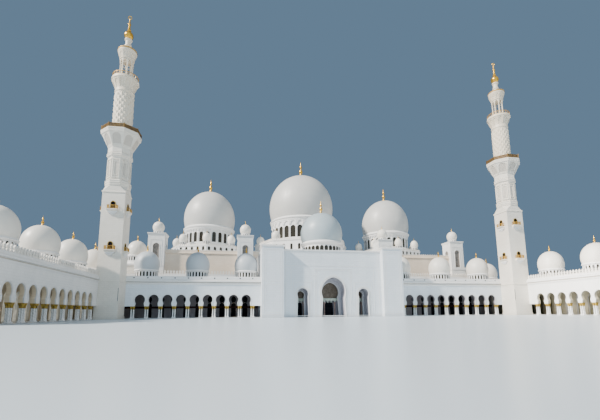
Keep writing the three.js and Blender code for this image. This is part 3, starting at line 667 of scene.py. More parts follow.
# %% The outline of an arch
def arch(half, widest, apex, neck, leg, foot, steps=12):
    """A pointed horseshoe around x = 0, from its left foot over the top to its right foot."""
    rise = apex - widest
    offset = (rise ** 2 - half ** 2) / (2 * half)
    radius = half + offset
    low, high = math.asin((neck - widest) / radius), math.acos(offset / radius)
    angles = [low + (high - low) * i / steps for i in range(steps)]
    right = [(leg, foot)] + [(radius * math.cos(a) - offset, widest + radius * math.sin(a)) for a in angles]
    return [(-x, z) for x, z in right] + [(0.0, apex)] + right[::-1]


def grown(shape, by, steps=12):
    """An arch from its six values, with its outline moved out."""
    half, widest, apex, neck, leg, foot = shape
    return arch(half + by, widest, apex + by, neck, leg + by, foot, steps)


def window(half, foot, spring, apex, steps=6):
    """A plain arched window."""
    return arch(half, spring, apex, spring - 1e-4, half, foot, steps)


def at(outline, x):
    return [(x + px, z) for px, z in outline]


def comb(x0, x1, low, high, arches):
    """A wall's outline whose foot dips round arches, given as pairs of place and outline."""
    foot = [point for x, outline in arches for point in at(outline, x)]
    return [(x0, low), *foot, (x1, low), (x1, high), (x0, high)]


def plaque(outline, out, depth, holes=()):
    """A slab on a wall at y = 0 that stands out by some amount."""
    return Stone().slab(outline, front(-out), depth, holes)


def ring(inner, outer, out, depth, x=0.0):
    """The band between two arches, standing out from the wall."""
    return plaque(at(rim(inner, outer), x), out, depth)


print("arch points:", len(arch(0.163, 0.61, 0.78, 0.505, 0.147, 0.4)))

# %% [markdown]
# ## Arcades
# Four arcades look on the courtyard: two beside the portal and two along its sides. All share one bay of
# 0.429 m, so each is described by where its first arch stands, which way it runs and how many bays it
# has. A wall is cut from one outline, as a thin bright skin in front of a block whose soffits carry painted
# shade, and painted sunlight in the left side gallery. Rings, columns, capitals and parapet leaves are
# repeated by the tree on both sides of the axis. Each pier is a group of four thin columns under one block.

# %% Where the arcades stand
PITCH = 0.429
FRONT, SIDE, OUTSIDE = -1.895, 7.5, 8.8
FLOOR_TOP, WALL_TOP = 0.012, 1.13
HALL_SIDE, HALL_FRONT, HALL_BACK = 6.76, 0.255, 7.505
WING_BACK, WING_END = 0.755, -7.685
PIER_X, MINARET_SIDE = 2.52, 6.9
arcades = {
    "front": {"origin": Vector((0, FRONT, 0)), "along": Vector((1, 0, 0)), "span": (PIER_X, MINARET_SIDE),
              "first": 3.015, "bays": 9},
    "side": {"origin": Vector((SIDE, 0, 0)), "along": Vector((0, -1, 0)), "span": (2.575, -WING_END),
             "first": 3.105, "bays": 11},
}
opening = (0.163, 0.61, 0.78, 0.505, 0.147, 0.4)


def bay_places(arcade, outline):
    """The middle of every bay along an arcade, each with an outline."""
    return [(arcade["first"] + PITCH * i, outline) for i in range(arcade["bays"])]


def bays(arcade, offset=0.0, extra=0):
    """Tree inputs for one piece a bay, on both sides of the portal."""
    start = arcade["origin"] + arcade["along"] * (arcade["first"] + offset)
    return line(arcade["bays"] + extra, start, arcade["along"] * PITCH)


print("bays:", sum(2 * arcade["bays"] for arcade in arcades.values()))

# %% Arch walls and the rings round their arches
SKIN, WALL = 0.015, 0.1
wall_finish = {"front": blue_shade_wall, "side": white_wall}
# Front soffits carry painted shade; the side soffits carry painted shade on the right and painted sunlight on
# the left.
soffit_finish = {"front": shaded_stone, "side": (shaded_gallery_stone, sunlit_gallery_stone)}
for name, arcade in arcades.items():
    outline = comb(*arcade["span"], 0.4, WALL_TOP, bay_places(arcade, arch(*opening)))
    face = facing(*arcade["origin"], arcade["along"])
    skin = Stone().slab(outline, face, SKIN)
    on_both_sides(f"{name}_arcade_wall", skin, wall_finish[name], [f"{name}_arcade"])
    inside = Stone().slab(outline, face @ shift(z=-SKIN), WALL - SKIN)
    on_both_sides(f"{name}_soffits", inside, soffit_finish[name])
    rings = ring(arch(*opening), grown(opening, 0.016), 0.01, 0.02)
    rings.take(ring(grown(opening, 0.03), grown(opening, 0.04), 0.006, 0.015))
    repeated(f"{name}_arch_rings", rings, plain_stone, bays(arcade))

# %% Groups of four columns
column_places = [(x, y) for x in (-0.034, 0.034) for y in (0.028, 0.072)]
shaft = profile(0, (0.026, 0.03), (0.026, 0.04), (0.023, 0.05), (0.019, 0.056), (0.018, 0.16), (0.017, 0.303))
pier = Stone().block((-0.066, 0.066), (0.0, WALL), (0.01, 0.032))
for spot in column_places:
    pier.turned(shaft, 10, spot)
for name, arcade in arcades.items():
    repeated(f"{name}_column_pairs", pier, inlaid, bays(arcade, -PITCH / 2, 1))

# %% Gilded capitals with flaring leaves
cup = profile(0, (0.02, 0.296), (0.024, 0.303), (0.02, 0.31), (0.023, 0.332), (0.03, 0.356), (0.035, 0.37),
              (0.031, 0.382))
capital = Stone().block((-0.066, 0.066), (-0.005, 0.105), (0.379, 0.4))
leaves = Stone().turned(cup, 16)
flares = [1.0 + 0.1 * (i % 2) for i in range(len(leaves.points))]
leaves.points = [(x * flare, y * flare, z) for flare, (x, y, z) in zip(flares, leaves.points)]
for x, y in column_places:
    capital.take(leaves, shift(x, y))
for name, arcade in arcades.items():
    repeated(f"{name}_capitals", capital, old_gold, bays(arcade, -PITCH / 2, 1))

# %% The front arcades' back walls, with doorways and blind keyholes
BACK_WALL = FRONT + 1.34
doors = bay_places(arcades["front"], arch(0.095, 0.43, 0.54, 0.4, 0.095, FLOOR_TOP))
back = Stone().slab(comb(PIER_X, SIDE, FLOOR_TOP, WALL_TOP, doors), front(BACK_WALL), 0.06)
on_both_sides("gallery_wall", back, shaded_stone, ["front_back_wall"])
rear = Stone().slab(comb(2.53, 7.49, FLOOR_TOP, WALL_TOP, doors), front(BACK_WALL + 0.058), 0.006)
on_both_sides("gallery_rear_facing", rear, white_wall)
back_bays = bays(arcades["front"]) | {"Start": (arcades["front"]["first"], BACK_WALL, 0)}
leaf = plaque(arch(0.094, 0.43, 0.538, 0.4, 0.094, 0.014), -0.03, 0.01)
leaf.take(plaque(arch(0.09, 0.66, 0.79, 0.58, 0.07, 0.54), 0.006, 0.012))
repeated("front_arcade_doors", leaf, dark_door_and_shade, back_bays)
keyhole = ring(arch(0.105, 0.66, 0.8, 0.57, 0.085, 0.53), arch(0.125, 0.66, 0.825, 0.57, 0.105, 0.53),
               0.015, 0.02)
repeated("front_arcade_blind_arches", keyhole, shaded_stone, back_bays)
frieze = Stone().block((2.54, 7.48), (BACK_WALL - 0.014, BACK_WALL + 0.01), (0.34, 0.41))
on_both_sides("front_arcade_frieze", frieze, maroon)

# %% [markdown]
# ## Roofs, parapets and small domes
# Along the top of every arcade runs a moulded cornice, its groove lined with painted shade, and then a
# parapet of upright stone leaves, with the gaps between them showing as small dark teeth from below. Behind
# it stand small domes on drums whose little windows read as a row of dark dashes. A drum is one bay, many
# times around.

# %% Leaves of the parapet
def leaf_outline(pitch, tall):
    """A parapet leaf: a waisted foot and a pointed head."""
    half = pitch * 0.42
    shape = [(half, 0), (half, 0.18), (half * 0.45, 0.36), (half * 0.8, 0.5), (half * 0.82, 0.64),
             (half * 0.4, 0.82)]
    right = [(x, z * tall) for x, z in shape]
    return right + [(0.0, tall)] + [(-x, z) for x, z in right[::-1]]


def parapet(name, start, stop, foot, tall, pitch=0.107, thick=0.03):
    """Leaves from corner to corner, facing right of that way; a run off the axis stands on both sides."""
    way = Vector((stop[0] - start[0], stop[1] - start[1], 0))
    count = round(way.length / pitch)
    leaf = Stone().slab(leaf_outline(way.length / count, tall), front(), thick)
    first = Vector((*start, foot)) + way / count / 2
    repeated(name, leaf, carved_stone, line(count, first, way / count, both=start[0] * stop[0] > 0))


print("leaf points:", len(leaf_outline(0.107, 0.2)))

# %% Drum bays and domes
def drum_bay(radius, count, low, high, pane):
    """One bay of a round drum, facing outwards: a slab with an arched window and its hood."""
    half, face = side_of(radius, count)
    width, sill, spring, apex = pane
    foot, edge = sill + 0.2 * (apex - sill), 0.008
    bay = Stone().slab(box(-half, half, low, high), front(-face), 0.025, [window(*pane)])
    hood = rim(window(width, foot, spring, apex), window(width + edge, foot, spring, apex + edge))
    return bay.slab(hood, front(-face - 0.004), 0.006)


def dome_angles(widest, apex, base, steps):
    low = math.asin((base - widest) / (apex - widest))
    return [low + (math.pi / 2 - low) * i / steps for i in range(steps)]


def egg(radius, widest, apex, angles):
    """Points of an upright half egg that also curves in below its widest point."""
    return [(radius * math.cos(a), widest + (apex - widest) * math.sin(a)) for a in angles]


def dome_shape(radius, widest, apex, base, wall, steps=22):
    """A dome's closed shell."""
    angles = dome_angles(widest, apex, base, steps)
    inner = egg(radius - wall, widest, apex - wall, angles[::3])
    inner[0] = (inner[0][0], base)
    return [(0, apex - wall), *inner[::-1], *egg(radius, widest, apex, angles), (0, apex)]


def cupola(radius, widest, apex, base):
    """A small solid dome."""
    curve = egg(radius, widest, apex, dome_angles(widest, apex, base, 12))
    return Stone().turned([(0, base), *curve, (0, apex)], 28)


def spike(foot, tip, radius):
    """A gilded finial: swelling knops on a thin stem, ending in a point."""
    swell = [(0, 0.0), (1.0, 0.0), (0.9, 0.06), (0.45, 0.16), (0.4, 0.22), (0.75, 0.3), (0.75, 0.38),
             (0.3, 0.48), (0.28, 0.54), (0.5, 0.6), (0.5, 0.65), (0.2, 0.74), (0.08, 0.9), (0, 1.0)]
    return Stone().turned([(radius * r, foot + (tip - foot) * z) for r, z in swell], 12)


print("dome profile points:", len(dome_shape(0.418, 1.85, 2.33, 1.647, 0.06)))

# %% Small domes, in rows on the roofs
ANNEX_X, ANNEX_Y = 7.65, 2.105
dome_rows = {
    "front": line(3, (arcades["front"]["first"], FRONT + 0.7, 0), (4 * PITCH, 0, 0)),
    "side": line(5, (8.08, -6.537, 0), (0, 4 * PITCH, 0), turn=0.0),
    "annex": line(1, (ANNEX_X, ANNEX_Y, 0.99)),
}
small = Stone().turned(dome_shape(0.418, 1.85, 2.33, 1.655, 0.05), 56)
drum_foot = profile(0.34, (0.425, 1.27), (0.425, 1.31), (0.4, 1.335), (0.385, 1.345), (0.385, 1.4))
drum_head = profile(0.34, (0.39, 1.6), (0.415, 1.618), (0.415, 1.634), (0.4, 1.645), (0.4, 1.662))
small_drum = Stone().turned(drum_head, 48).turned(drum_foot, 48)
bay = drum_bay(0.382, 22, 1.4, 1.6, (0.031, 1.415, 1.555, 1.585))
small_drum.take_mesh(run_repeat("drum", bay, plain_stone, circle(22)))
pane = Stone().turned(box(0.35, 0.368, 1.4, 1.6), 44)
left_shaded_domes = {"front": shaded_front_dome_stone}
for name, row in dome_rows.items():
    shells = Stone().take_mesh(run_repeat("shells", small, dome_stone, row | {"Both sides": False}))
    # Domes on the right, and the left side and annex domes, carry painted sunlight; the left front domes
    # carry painted shade.
    on_both_sides(f"{name}_small_domes", shells, (sunlit_dome_stone, left_shaded_domes.get(name, sunlit_dome_stone)))
    repeated(f"{name}_small_drums", small_drum, plain_stone, row)
    repeated(f"{name}_small_drum_glazing", pane, glass, row)
    repeated(f"{name}_small_finials", spike(2.31, 2.58, 0.045), gold, row)

# %% Roofs with their cornices
ROOF_TOP, KERB_TOP, FRONT_TOP, REAR_TOP = 1.27, 1.33, 1.39, 1.6
ROOF_BACK, REAR_FACE = -0.495, -0.535
MINARET_FRONT = -2.575
cornice = profile(-0.01, (0.01, 1.11), (0.014, WALL_TOP), (0.028, 1.145), (0.028, 1.165), (0.004, 1.172),
                  (0.004, 1.2), (0.05, 1.208), (0.05, 1.245), (0.03, 1.26))
front_roof = Stone().block((PIER_X, SIDE), (FRONT, ROOF_BACK), (WALL_TOP, ROOF_TOP))
front_roof.block((PIER_X, SIDE), (REAR_FACE, -0.497), (1.26, REAR_TOP))
notch = [(SIDE, WING_BACK), (SIDE, FRONT), (7.58, FRONT), (7.58, MINARET_FRONT), (SIDE, MINARET_FRONT)]
corners = [(SIDE, WING_END), (OUTSIDE, WING_END), (OUTSIDE, WING_BACK)]
side_roof = Stone().slab(corners + notch, shift(z=ROOF_TOP), 0.14)
side_edge = [(SIDE, MINARET_FRONT), *corners, (SIDE, WING_BACK)]
for name, roof, edge, top in (("front", front_roof, [(PIER_X, FRONT), (MINARET_SIDE, FRONT)], FRONT_TOP),
                              ("side", side_roof, side_edge, KERB_TOP)):
    kerb = profile(-0.035, (0.0, 1.26), (0.012, ROOF_TOP), (0.012, top - 0.015), (0.0, top))
    on_both_sides(f"{name}_terrace", roof, plain_stone, [f"{name}_roof"])
    trim = Stone().moulding(edge, cornice, closed=False).moulding(edge, kerb, closed=False)
    on_both_sides(f"{name}_cornice", trim, plain_stone)
    # A band of darker stone in the cornice's groove is painted shade.
    groove = Stone().moulding(edge, box(-0.01, 0.009, 1.174, 1.198), closed=False)
    on_both_sides(f"{name}_cornice_band", groove, painted_recess_shade)
# The spouts are near black: painted shade in their mouths.
spout = Stone().block((-0.02, 0.02), (-0.016, 0.0), (1.315, 1.35))
repeated("front_parapet_spouts", spout, dark_door_and_shade, bays(arcades["front"], -PITCH / 2, 1))

# %% Parapet leaves on every edge
LEAF_FOOT = KERB_TOP - 0.005
for name, start, stop, foot in (
        ("rear", (PIER_X, REAR_FACE), (SIDE, REAR_FACE), REAR_TOP),
        ("side", (SIDE, -2.6), (SIDE, -7.65), LEAF_FOOT),
        ("end", (7.53, WING_END), (8.78, WING_END), LEAF_FOOT),
        ("outer", (OUTSIDE, -7.655), (OUTSIDE, 0.725), LEAF_FOOT),
        ("back", (8.77, WING_BACK), (7.52, WING_BACK), LEAF_FOOT)):
    parapet(f"{name}_parapet", start, stop, foot, 0.155)

# %% The side wings' outer walls
outer_arch = (0.14, 0.56, 0.74, 0.555, 0.14, FLOOR_TOP)
outer_places = [(-7.395 + PITCH * i, arch(*outer_arch)) for i in range(18)]
outer_row = line(18, (OUTSIDE, -7.395, 0), (0, PITCH, 0))
outline = comb(WING_END, WING_BACK, FLOOR_TOP, WALL_TOP, outer_places)
outer = Stone().slab(outline, facing(OUTSIDE, 0, 0, (0, 1, 0)), 0.13)
for xs, ys in (((7.6, 8.67), (WING_END, -7.625)), ((7.6, 8.67), (0.655, WING_BACK)),
               ((SIDE, 7.6), (ROOF_BACK, WING_BACK))):
    outer.block(xs, ys, (FLOOR_TOP, WALL_TOP))
on_both_sides("outer_wall", outer, white_wall, ["side_outer_wall"])
lining_places = [(-y, outline) for y, outline in reversed(outer_places)]
outline = comb(-0.65, 7.62, FLOOR_TOP, WALL_TOP, lining_places)
lining = Stone().slab(outline, facing(8.662, 0, 0, (0, -1, 0)), 0.008)
# The left gallery's lining carries painted sunlight, the right one's painted shade.
on_both_sides("gallery_lining", lining, (shaded_gallery_stone, sunlit_gallery_stone))
gallery_pane = plaque(grown(outer_arch, -0.002), -0.05, 0.01)
glazing = Stone().take_mesh(run_repeat("panes", gallery_pane, glass, outer_row | {"Both sides": False}))
# The panes carry painted sunlight and a glow on the left, painted shade on the right.
on_both_sides("gallery_glazing", glazing, (shaded_gallery_glass, sunlit_gallery_glass))
outer_ring = ring(arch(*outer_arch), grown(outer_arch, 0.025), 0.012, 0.02)
outer_ring.take(ring(grown(outer_arch, 0.04), grown(outer_arch, 0.052), 0.007, 0.015))
repeated("outer_wall_rings", outer_ring, plain_stone, outer_row)

# %% [markdown]
# ## The great domes
# Each great dome is a smooth shell on a tall round drum, and the drum stands on an octagonal podium with a
# turret at every corner. The drum is built like a real one: narrow piers with tall dark windows between
# them, a carved band of small blind arches above, and a moulded ring from which the dome springs.

# %% What each great dome measures
DOME_Y, HALL_ROOF = 3.885, 2.65
great = {
    "main": {"x": 0.0, "radius": 1.675, "widest": 5.57, "apex": 7.41, "ring": 4.83, "drum": 1.54,
             "foot": 3.55, "bays": 28, "pane": (0.128, 3.8, 4.27, 4.4), "podium": 2.42, "corner": 2.15,
             "tip": 8.3, "turret": (0.205, 3.79, 4.03, 3.64), "light": (0.058, 3.06, 3.28, 3.34)},
    "left": {"x": -4.73, "radius": 1.25, "widest": 4.83, "apex": 6.28, "ring": 4.29, "drum": 1.15,
             "foot": 3.23, "bays": 24, "pane": (0.094, 3.5, 3.9, 3.99), "podium": 1.82, "corner": 1.56,
             "tip": 7.04, "turret": (0.19, 3.6, 3.84, 3.44), "light": (0.06, 2.97, 3.1, 3.17)},
}
great["right"] = great["left"] | {"x": -great["left"]["x"]}


def tall_bay(drum, count, foot, top, pane):
    """A bay of a great drum: wall with a tall window, hood, pier shaft and a row of blind arches above."""
    half, face = side_of(drum, count)
    width, low, spring, apex = pane
    head = apex + 0.05
    bay = Stone().slab(box(-half, half, foot, top), front(-face), 0.035, [window(*pane)])
    hood_foot, edge = low + 0.02, 0.014
    hood = rim(window(width, hood_foot, spring, apex), window(width + edge, hood_foot, spring, apex + 0.02))
    bay.slab(hood, front(-face - 0.01), 0.015)
    room = top - 0.05 - head
    count = round(half * 1.3 / room)
    corbel = window(half * 0.72 / count, head, head + 0.2 * room, head + 0.75 * room)
    corbels = [(half * (2 * i + 1 - count) / count, corbel) for i in range(count)]
    bay.slab(comb(-half, half, head, head + room, corbels), front(-face - 0.045), 0.05)
    bay.block((-half, half), (-face - 0.03, -face + 0.02), (foot, low - 0.05))
    shaft = profile(0, (0.022, low - 0.06), (0.018, low - 0.03), (0.016, spring), (0.026, spring + 0.04))
    return bay.turned(shaft, 8, (half, -face - 0.008))


print("great domes:", list(great))

# %% Shells, drums and finials of the great domes
for name, dome in great.items():
    drum, foot, top, pane = dome["drum"], dome["foot"], dome["ring"], dome["pane"]
    sill, head = pane[1], pane[3]
    centre = (dome["x"], DOME_Y)
    egg_shape = dome_shape(dome["radius"], dome["widest"], dome["apex"], top + 0.02, 0.08, 32)
    build(f"{name}_dome_shell", Stone().turned(egg_shape, 96, centre), dome_stone, [f"{name}_dome"])
    bay = tall_bay(drum, dome["bays"], foot, top - 0.1, pane)
    repeated(f"{name}_drum_bays", bay, plain_stone, circle(dome["bays"], centre), [f"{name}_dome_drum"])
    rings = Stone()
    for steps in (
            profile(-0.08, (0.07, foot), (0.07, foot + 0.05), (0.045, foot + 0.08)),
            profile(-0.05, (0.03, sill - 0.06), (0.035, sill - 0.035), (0.012, sill - 0.01)),
            profile(-0.06, (0.05, top - 0.17), (0.065, top - 0.13), (0.06, top - 0.1), (0.1, top - 0.07),
                    (0.11, top - 0.03), (0.08, top), (0.05, top + 0.02), (0.03, top + 0.05))):
        rings.turned([(drum + out, z) for out, z in steps], 96, centre)
    build(f"{name}_drum_mouldings", rings, plain_stone)
    glazing = box(drum - 0.04, drum - 0.026, sill - 0.02, head + 0.02)
    build(f"{name}_drum_glazing", Stone().turned(glazing, 84, centre), glass)
    point = Stone().take(spike(dome["apex"] - 0.02, dome["tip"], dome["radius"] * 0.075), shift(*centre))
    build(f"{name}_dome_spire", point, gold, [f"{name}_dome_finial"])

# %% Octagonal podiums
for name, dome in great.items():
    radius, top, centre = dome["podium"], dome["foot"], (dome["x"], DOME_Y)
    half, face = side_of(radius, 8)
    width, low, spring, apex = dome["light"]
    places = [2 * half / 5 * (i + 0.5) - half for i in range(5)]
    holes = [at(window(*dome["light"]), x) for x in places]
    wall = Stone().slab(box(-half, half, HALL_ROOF, top - 0.03), front(-face), WALL, holes)
    for x, hole in zip(places, holes):
        frame_edge = at(window(width + 0.02, low, spring, apex + 0.022), x)
        wall.slab(rim(hole, frame_edge), front(-face - 0.01), 0.02)
    at_dome = circle(8, centre, math.pi / 8)
    repeated(f"{name}_podium_walls", wall, white_wall, at_dome, [f"{name}_dome_podium"])
    reach = half * 0.95
    back = Stone().block((-reach, reach), (-face + 0.018, -face + 0.03), (low - 0.02, apex + 0.02))
    repeated(f"{name}_podium_glazing", back, glass, at_dome)
    corners = prism(radius, 8, centre=centre)
    edge = profile(-0.06, (0.01, top - 0.06), (0.035, top - 0.04), (0.04, top - 0.01), (0.02, top))
    base = profile(-0.02, (0.04, HALL_ROOF), (0.04, 2.72), (0.02, 2.75))
    trim = Stone().moulding(corners, edge).moulding(corners, base)
    trim.turned(box(dome["drum"] - 0.1, radius - 0.03, top - 0.07, top - 0.005), 8, centre)
    build(f"{name}_podium_cornice", trim, plain_stone)
    count = round(2 * half / 0.11)
    step = 2 * half / count
    leaf = Stone().slab(leaf_outline(step, 0.085), facing(0, -face, top, (1, 0, 0)), 0.025)
    row = line(count, (step / 2 - half, 0, 0), (step, 0, 0), both=False)
    leaves = Stone().take_mesh(run_repeat("leaves", leaf, carved_stone, row))
    repeated(f"{name}_podium_parapet", leaves, carved_stone, at_dome)

# %% Turrets on the podiums' corners
def twelve_slits(half, radius, low, spring, apex):
    """Small dark windows round a turret."""
    slit = Stone().slab(window(half, low, spring, apex, 3), front(-radius), 0.02)
    return Stone().take_mesh(run_repeat("slits", slit, glass, circle(12)))


for name, dome in great.items():
    radius, widest, apex, base = dome["turret"]
    foot, drum = dome["foot"], radius * 0.82
    steps = profile(0, (drum + 0.035, foot - 0.02), (drum + 0.035, foot + 0.02), (drum, foot + 0.035),
                    (drum, base - 0.02), (drum + 0.018, base - 0.012), (drum + 0.018, base))
    body = Stone().turned(steps, 28)
    slits = twelve_slits(0.017, drum + 0.002, foot + 0.04, base - 0.036, base - 0.024)
    for part, shapes, material, slot in (
            ("drums", body, plain_stone, "white_marble"),
            ("domes", cupola(*dome["turret"]), sunlit_dome_stone, None), ("slits", slits, glass, None),
            ("spikes", spike(apex - 0.01, apex + 0.17, 0.016), gold, None)):
        turret = Stone().take(shapes, shift(y=-dome["corner"]))
        repeated(f"{name}_turret_{part}", turret, material, circle(8, (dome["x"], DOME_Y)))

# %% [markdown]
# ## The hall's towers, walls and annexes
# Six square towers stiffen the hall. Each carries a deep arched niche on every face, with a back and a blind
# ring in it that are darker with painted shade, a moulded top and a small dome. The hall's walls between them
# are plain above the arcades, and on the sides and back they have two rows of framed windows. The wall nodes
# of the frame already have the right shape, so they stay and only get their marble.

# %% One tower
TOWER, TOWER_TOP = 0.31, 3.28
niche = arch(0.125, 2.75, 2.88, 2.7, 0.125, 2.1)
niche_edge = rim(niche, arch(0.155, 2.75, 2.915, 2.69, 0.155, 2.07))
niche_ring = rim(arch(0.075, 2.7, 2.8, 2.66, 0.075, 2.1), arch(0.1, 2.72, 2.84, 2.68, 0.1, 2.1))
tower = Stone().block((-0.25, 0.25), (-0.25, 0.25), (0.0, 3.27))
square = box(-TOWER, TOWER, -TOWER, TOWER)
tower_trim, tower_niche = Stone(), Stone()
tower_trim.moulding(square, profile(-0.02, (0.008, 3.2), (0.02, 3.225), (0.02, 3.25), (0.034, 3.262),
                                    (0.034, 3.285)))
tower_trim.moulding(square, [(-0.02, 1.97), (0.01, 1.97), (0.016, 1.985), (0.016, 2.0), (-0.02, 2.005)])
for turn in range(4):
    quarter = Matrix.Rotation(turn * math.pi / 2, 4, "Z")
    half = TOWER - 0.06 * (turn % 2)
    tower.slab(box(-half, half, 0, TOWER_TOP), quarter @ front(-TOWER), 0.06, [niche])
    tower_trim.slab(niche_edge, quarter @ front(-TOWER - 0.012), 0.02)
    frame_hole = box(-0.205, 0.205, 2.05, 3.0)
    tower_trim.slab(box(-0.225, 0.225, 2.03, 3.02), quarter @ front(-TOWER - 0.008), 0.016, [frame_hole])
    # The niche's back and ring take a darker finish: painted shade in the deep niche.
    tower_niche.slab(niche, quarter @ front(0.035 - TOWER), 0.02)
    tower_niche.slab(niche_ring, quarter @ front(0.025 - TOWER), 0.012)
tower_trim.turned(profile(0, (0.21, 3.27), (0.21, 3.3), (0.178, 3.315), (0.178, 3.365), (0.19, 3.372),
                          (0.19, 3.385)), 28)
print("tower faces:", len(tower.faces) + len(tower_trim.faces))

# %% Six towers
slits = twelve_slits(0.016, 0.18, 3.318, 3.345, 3.358)
for name, (x, y) in {"outer": (6.45, 0.385), "inner": (3.02, 0.385), "back": (6.45, 7.375)}.items():
    on_both_sides(f"{name}_tower_body", Stone().take(tower, shift(x, y)), white_wall, [f"{name}_tower"])
    for part, shapes, material in (
            ("trim", tower_trim, plain_stone), ("niches", tower_niche, painted_niche_shade),
            ("domes", cupola(0.222, 3.56, 3.8, 3.37), sunlit_dome_stone), ("slits", slits, glass),
            ("spikes", spike(3.79, 3.98, 0.02), gold)):
        repeated(f"{name}_tower_{part}", shapes, material, line(1, (x, y, 0)))

# %% Hall cornice and parapet
hall_profile = profile(-0.02, (0.01, 2.48), (0.016, 2.5), (0.03, 2.515), (0.03, 2.55), (0.012, 2.565),
                       (0.012, 2.64))
hall_runs = {"front": ((3.33, HALL_FRONT), (6.14, HALL_FRONT)),
             "side": ((HALL_SIDE, 0.695), (HALL_SIDE, 7.065)),
             "middle": ((-2.71, HALL_FRONT), (2.71, HALL_FRONT)),
             "back": ((6.14, HALL_BACK), (-6.14, HALL_BACK))}
crown_line = Stone()
for name, (start, stop) in hall_runs.items():
    run = Stone().moulding([start, stop], hall_profile, closed=False)
    crown_line.take(run)
    if start[0] * stop[0] > 0:
        crown_line.take(run.mirrored())
    parapet(f"hall_{name}_parapet", start, stop, 2.63, 0.05)
build("hall_cornice", crown_line, hall_wall)

# %% Framed windows on the hall's sides and back
low_pane, high_pane = window(0.11, 0.7, 1.45, 1.6, 10), window(0.065, 1.99, 2.2, 2.28, 10)
window_frame = plaque(window(0.15, 0.66, 1.45, 1.65, 10), 0.02, 0.03, [low_pane])
window_frame.block((-0.19, 0.19), (-0.035, 0.01), (0.62, 0.67))
window_frame.take(ring(window(0.18, 0.68, 1.45, 1.69, 10), window(0.2, 0.68, 1.45, 1.715, 10), 0.01, 0.02))
window_frame.take(plaque(window(0.09, 1.96, 2.2, 2.31, 10), 0.018, 0.03, [high_pane]))
panes = plaque(low_pane, 0.004, 0.012).take(plaque(high_pane, 0.004, 0.012))
for name, row in (("side", line(9, (HALL_SIDE, 1.1, 0), (0, 0.7, 0))),
                  ("back", line(8, (5.75, HALL_BACK, 0), (-0.7, 0, 0)))):
    repeated(f"hall_{name}_window_frames", window_frame, plain_stone, row)
    repeated(f"hall_{name}_window_panes", panes, glass, row)

# %% Annexes
ANNEX_SIDE, ANNEX_FRONT, ANNEX_BACK = 8.1, 1.655, 2.555
annex = Stone().block((HALL_SIDE, ANNEX_SIDE), (ANNEX_FRONT, ANNEX_BACK), (0, 2.26))
on_both_sides("annex_block", annex, ivory_stone, ["annex"])
annex_trim = Stone().moulding(
    box(HALL_SIDE, ANNEX_SIDE, ANNEX_FRONT, ANNEX_BACK),
    profile(-0.02, (0.01, 2.16), (0.02, 2.19), (0.04, 2.205), (0.04, 2.24), (0.02, 2.27)), closed=False)
annex_door, doorway = window(0.1, 0.0, 0.44, 0.52, 10), facing(ANNEX_SIDE, ANNEX_Y, 0, (0, 1, 0))
annex_trim.slab(rim(annex_door, window(0.14, 0.0, 0.44, 0.565, 10)), doorway @ shift(z=0.02), 0.03)
on_both_sides("annex_trim", annex_trim, plain_stone)
on_both_sides("annex_door", Stone().slab(annex_door, doorway @ shift(z=0.004), 0.012), dark_door_and_shade)
parapet("annex_parapet", (ANNEX_SIDE, ANNEX_FRONT), (ANNEX_SIDE, ANNEX_BACK), 2.265, 0.09)

# %% Marble for the frame nodes that stay
kept_nodes = {
    hall_wall: [f"hall_{part}_wall" for part in ("left", "right", "back")]
    + [f"hall_front_wall_{part}" for part in ("left", "right", "centre")],
    plain_stone: ["hall_roof"],
    floor_stone: [f"{part}_floor" for part in ("hall", "portal", "left_front", "right_front", "left_side",
                                               "right_side")],
    blue_shade_wall: ["portal_left_pier", "portal_right_pier"],
    ivory_stone: ["left_minaret_shaft", "right_minaret_shaft"],
}
for material, names in kept_nodes.items():
    for name in names:
        nodes[name].data.materials.clear()
        nodes[name].data.materials.append(material)
print("kept nodes:", sum(map(len, kept_nodes.values())))

# %% [markdown]
# ## The portal
# The portal is a tall screen of marble between two piers. A wide horseshoe arch and a narrow one on each
# side lead through two orders of stone, the inner one narrower, to a screen with the doors. Above the doors
# hangs a pale scalloped band, and above that the arch is closed by a bronze lattice.

# %% Two orders of arches
PORTAL_FACE, REVEAL, SCREEN = -2.215, -1.745, -1.545
PORTAL_X, SIDE_ARCH_X = 1.78, 1.095
CEILING, PORTAL_TOP = 2.26, 2.34
PIER_FRONT, PIER_BACK = -2.435, -1.505
FINE_STEPS = 20


def three(side, main):
    """The portal's three openings, each with its place."""
    return [(-SIDE_ARCH_X, side), (0, main), (SIDE_ARCH_X, side)]


def order(shapes, foot, top, y, depth, steps=FINE_STEPS):
    """A wall between the piers with three arches in it."""
    arches = [(x, arch(*shape, steps)) for x, shape in shapes]
    return Stone().slab(comb(-PORTAL_X, PORTAL_X, foot, top, arches), front(y), depth)


outer_order = three((0.198, 0.785, 0.99, 0.69, 0.198, 0.0), (0.435, 0.87, 1.38, 0.66, 0.435, 0.0))
inner_order = three((0.15, 0.77, 0.925, 0.7, 0.15, 0.0), (0.33, 0.87, 1.24, 0.7, 0.33, 0.0))
doorways = three((0.095, 0.44, 0.5, 0.42, 0.095, FLOOR_TOP), (0.16, 0.44, 0.51, 0.42, 0.16, FLOOR_TOP))
arches = order(outer_order, 0, PORTAL_TOP, PORTAL_FACE, 0.05)
build("portal_arches", arches, blue_shade_wall, ["portal_front_wall"])
soffits = order(outer_order, 0, 2.3, PORTAL_FACE + 0.05, REVEAL - PORTAL_FACE - 0.05)
build("portal_soffits", soffits.take(order(inner_order, 0, CEILING, REVEAL, 0.2)), soffit_shade_stone)
screen = order(doorways, FLOOR_TOP, CEILING, SCREEN, 0.04, 12)
build("portal_screen_wall", screen, shaded_stone, ["portal_screen"])

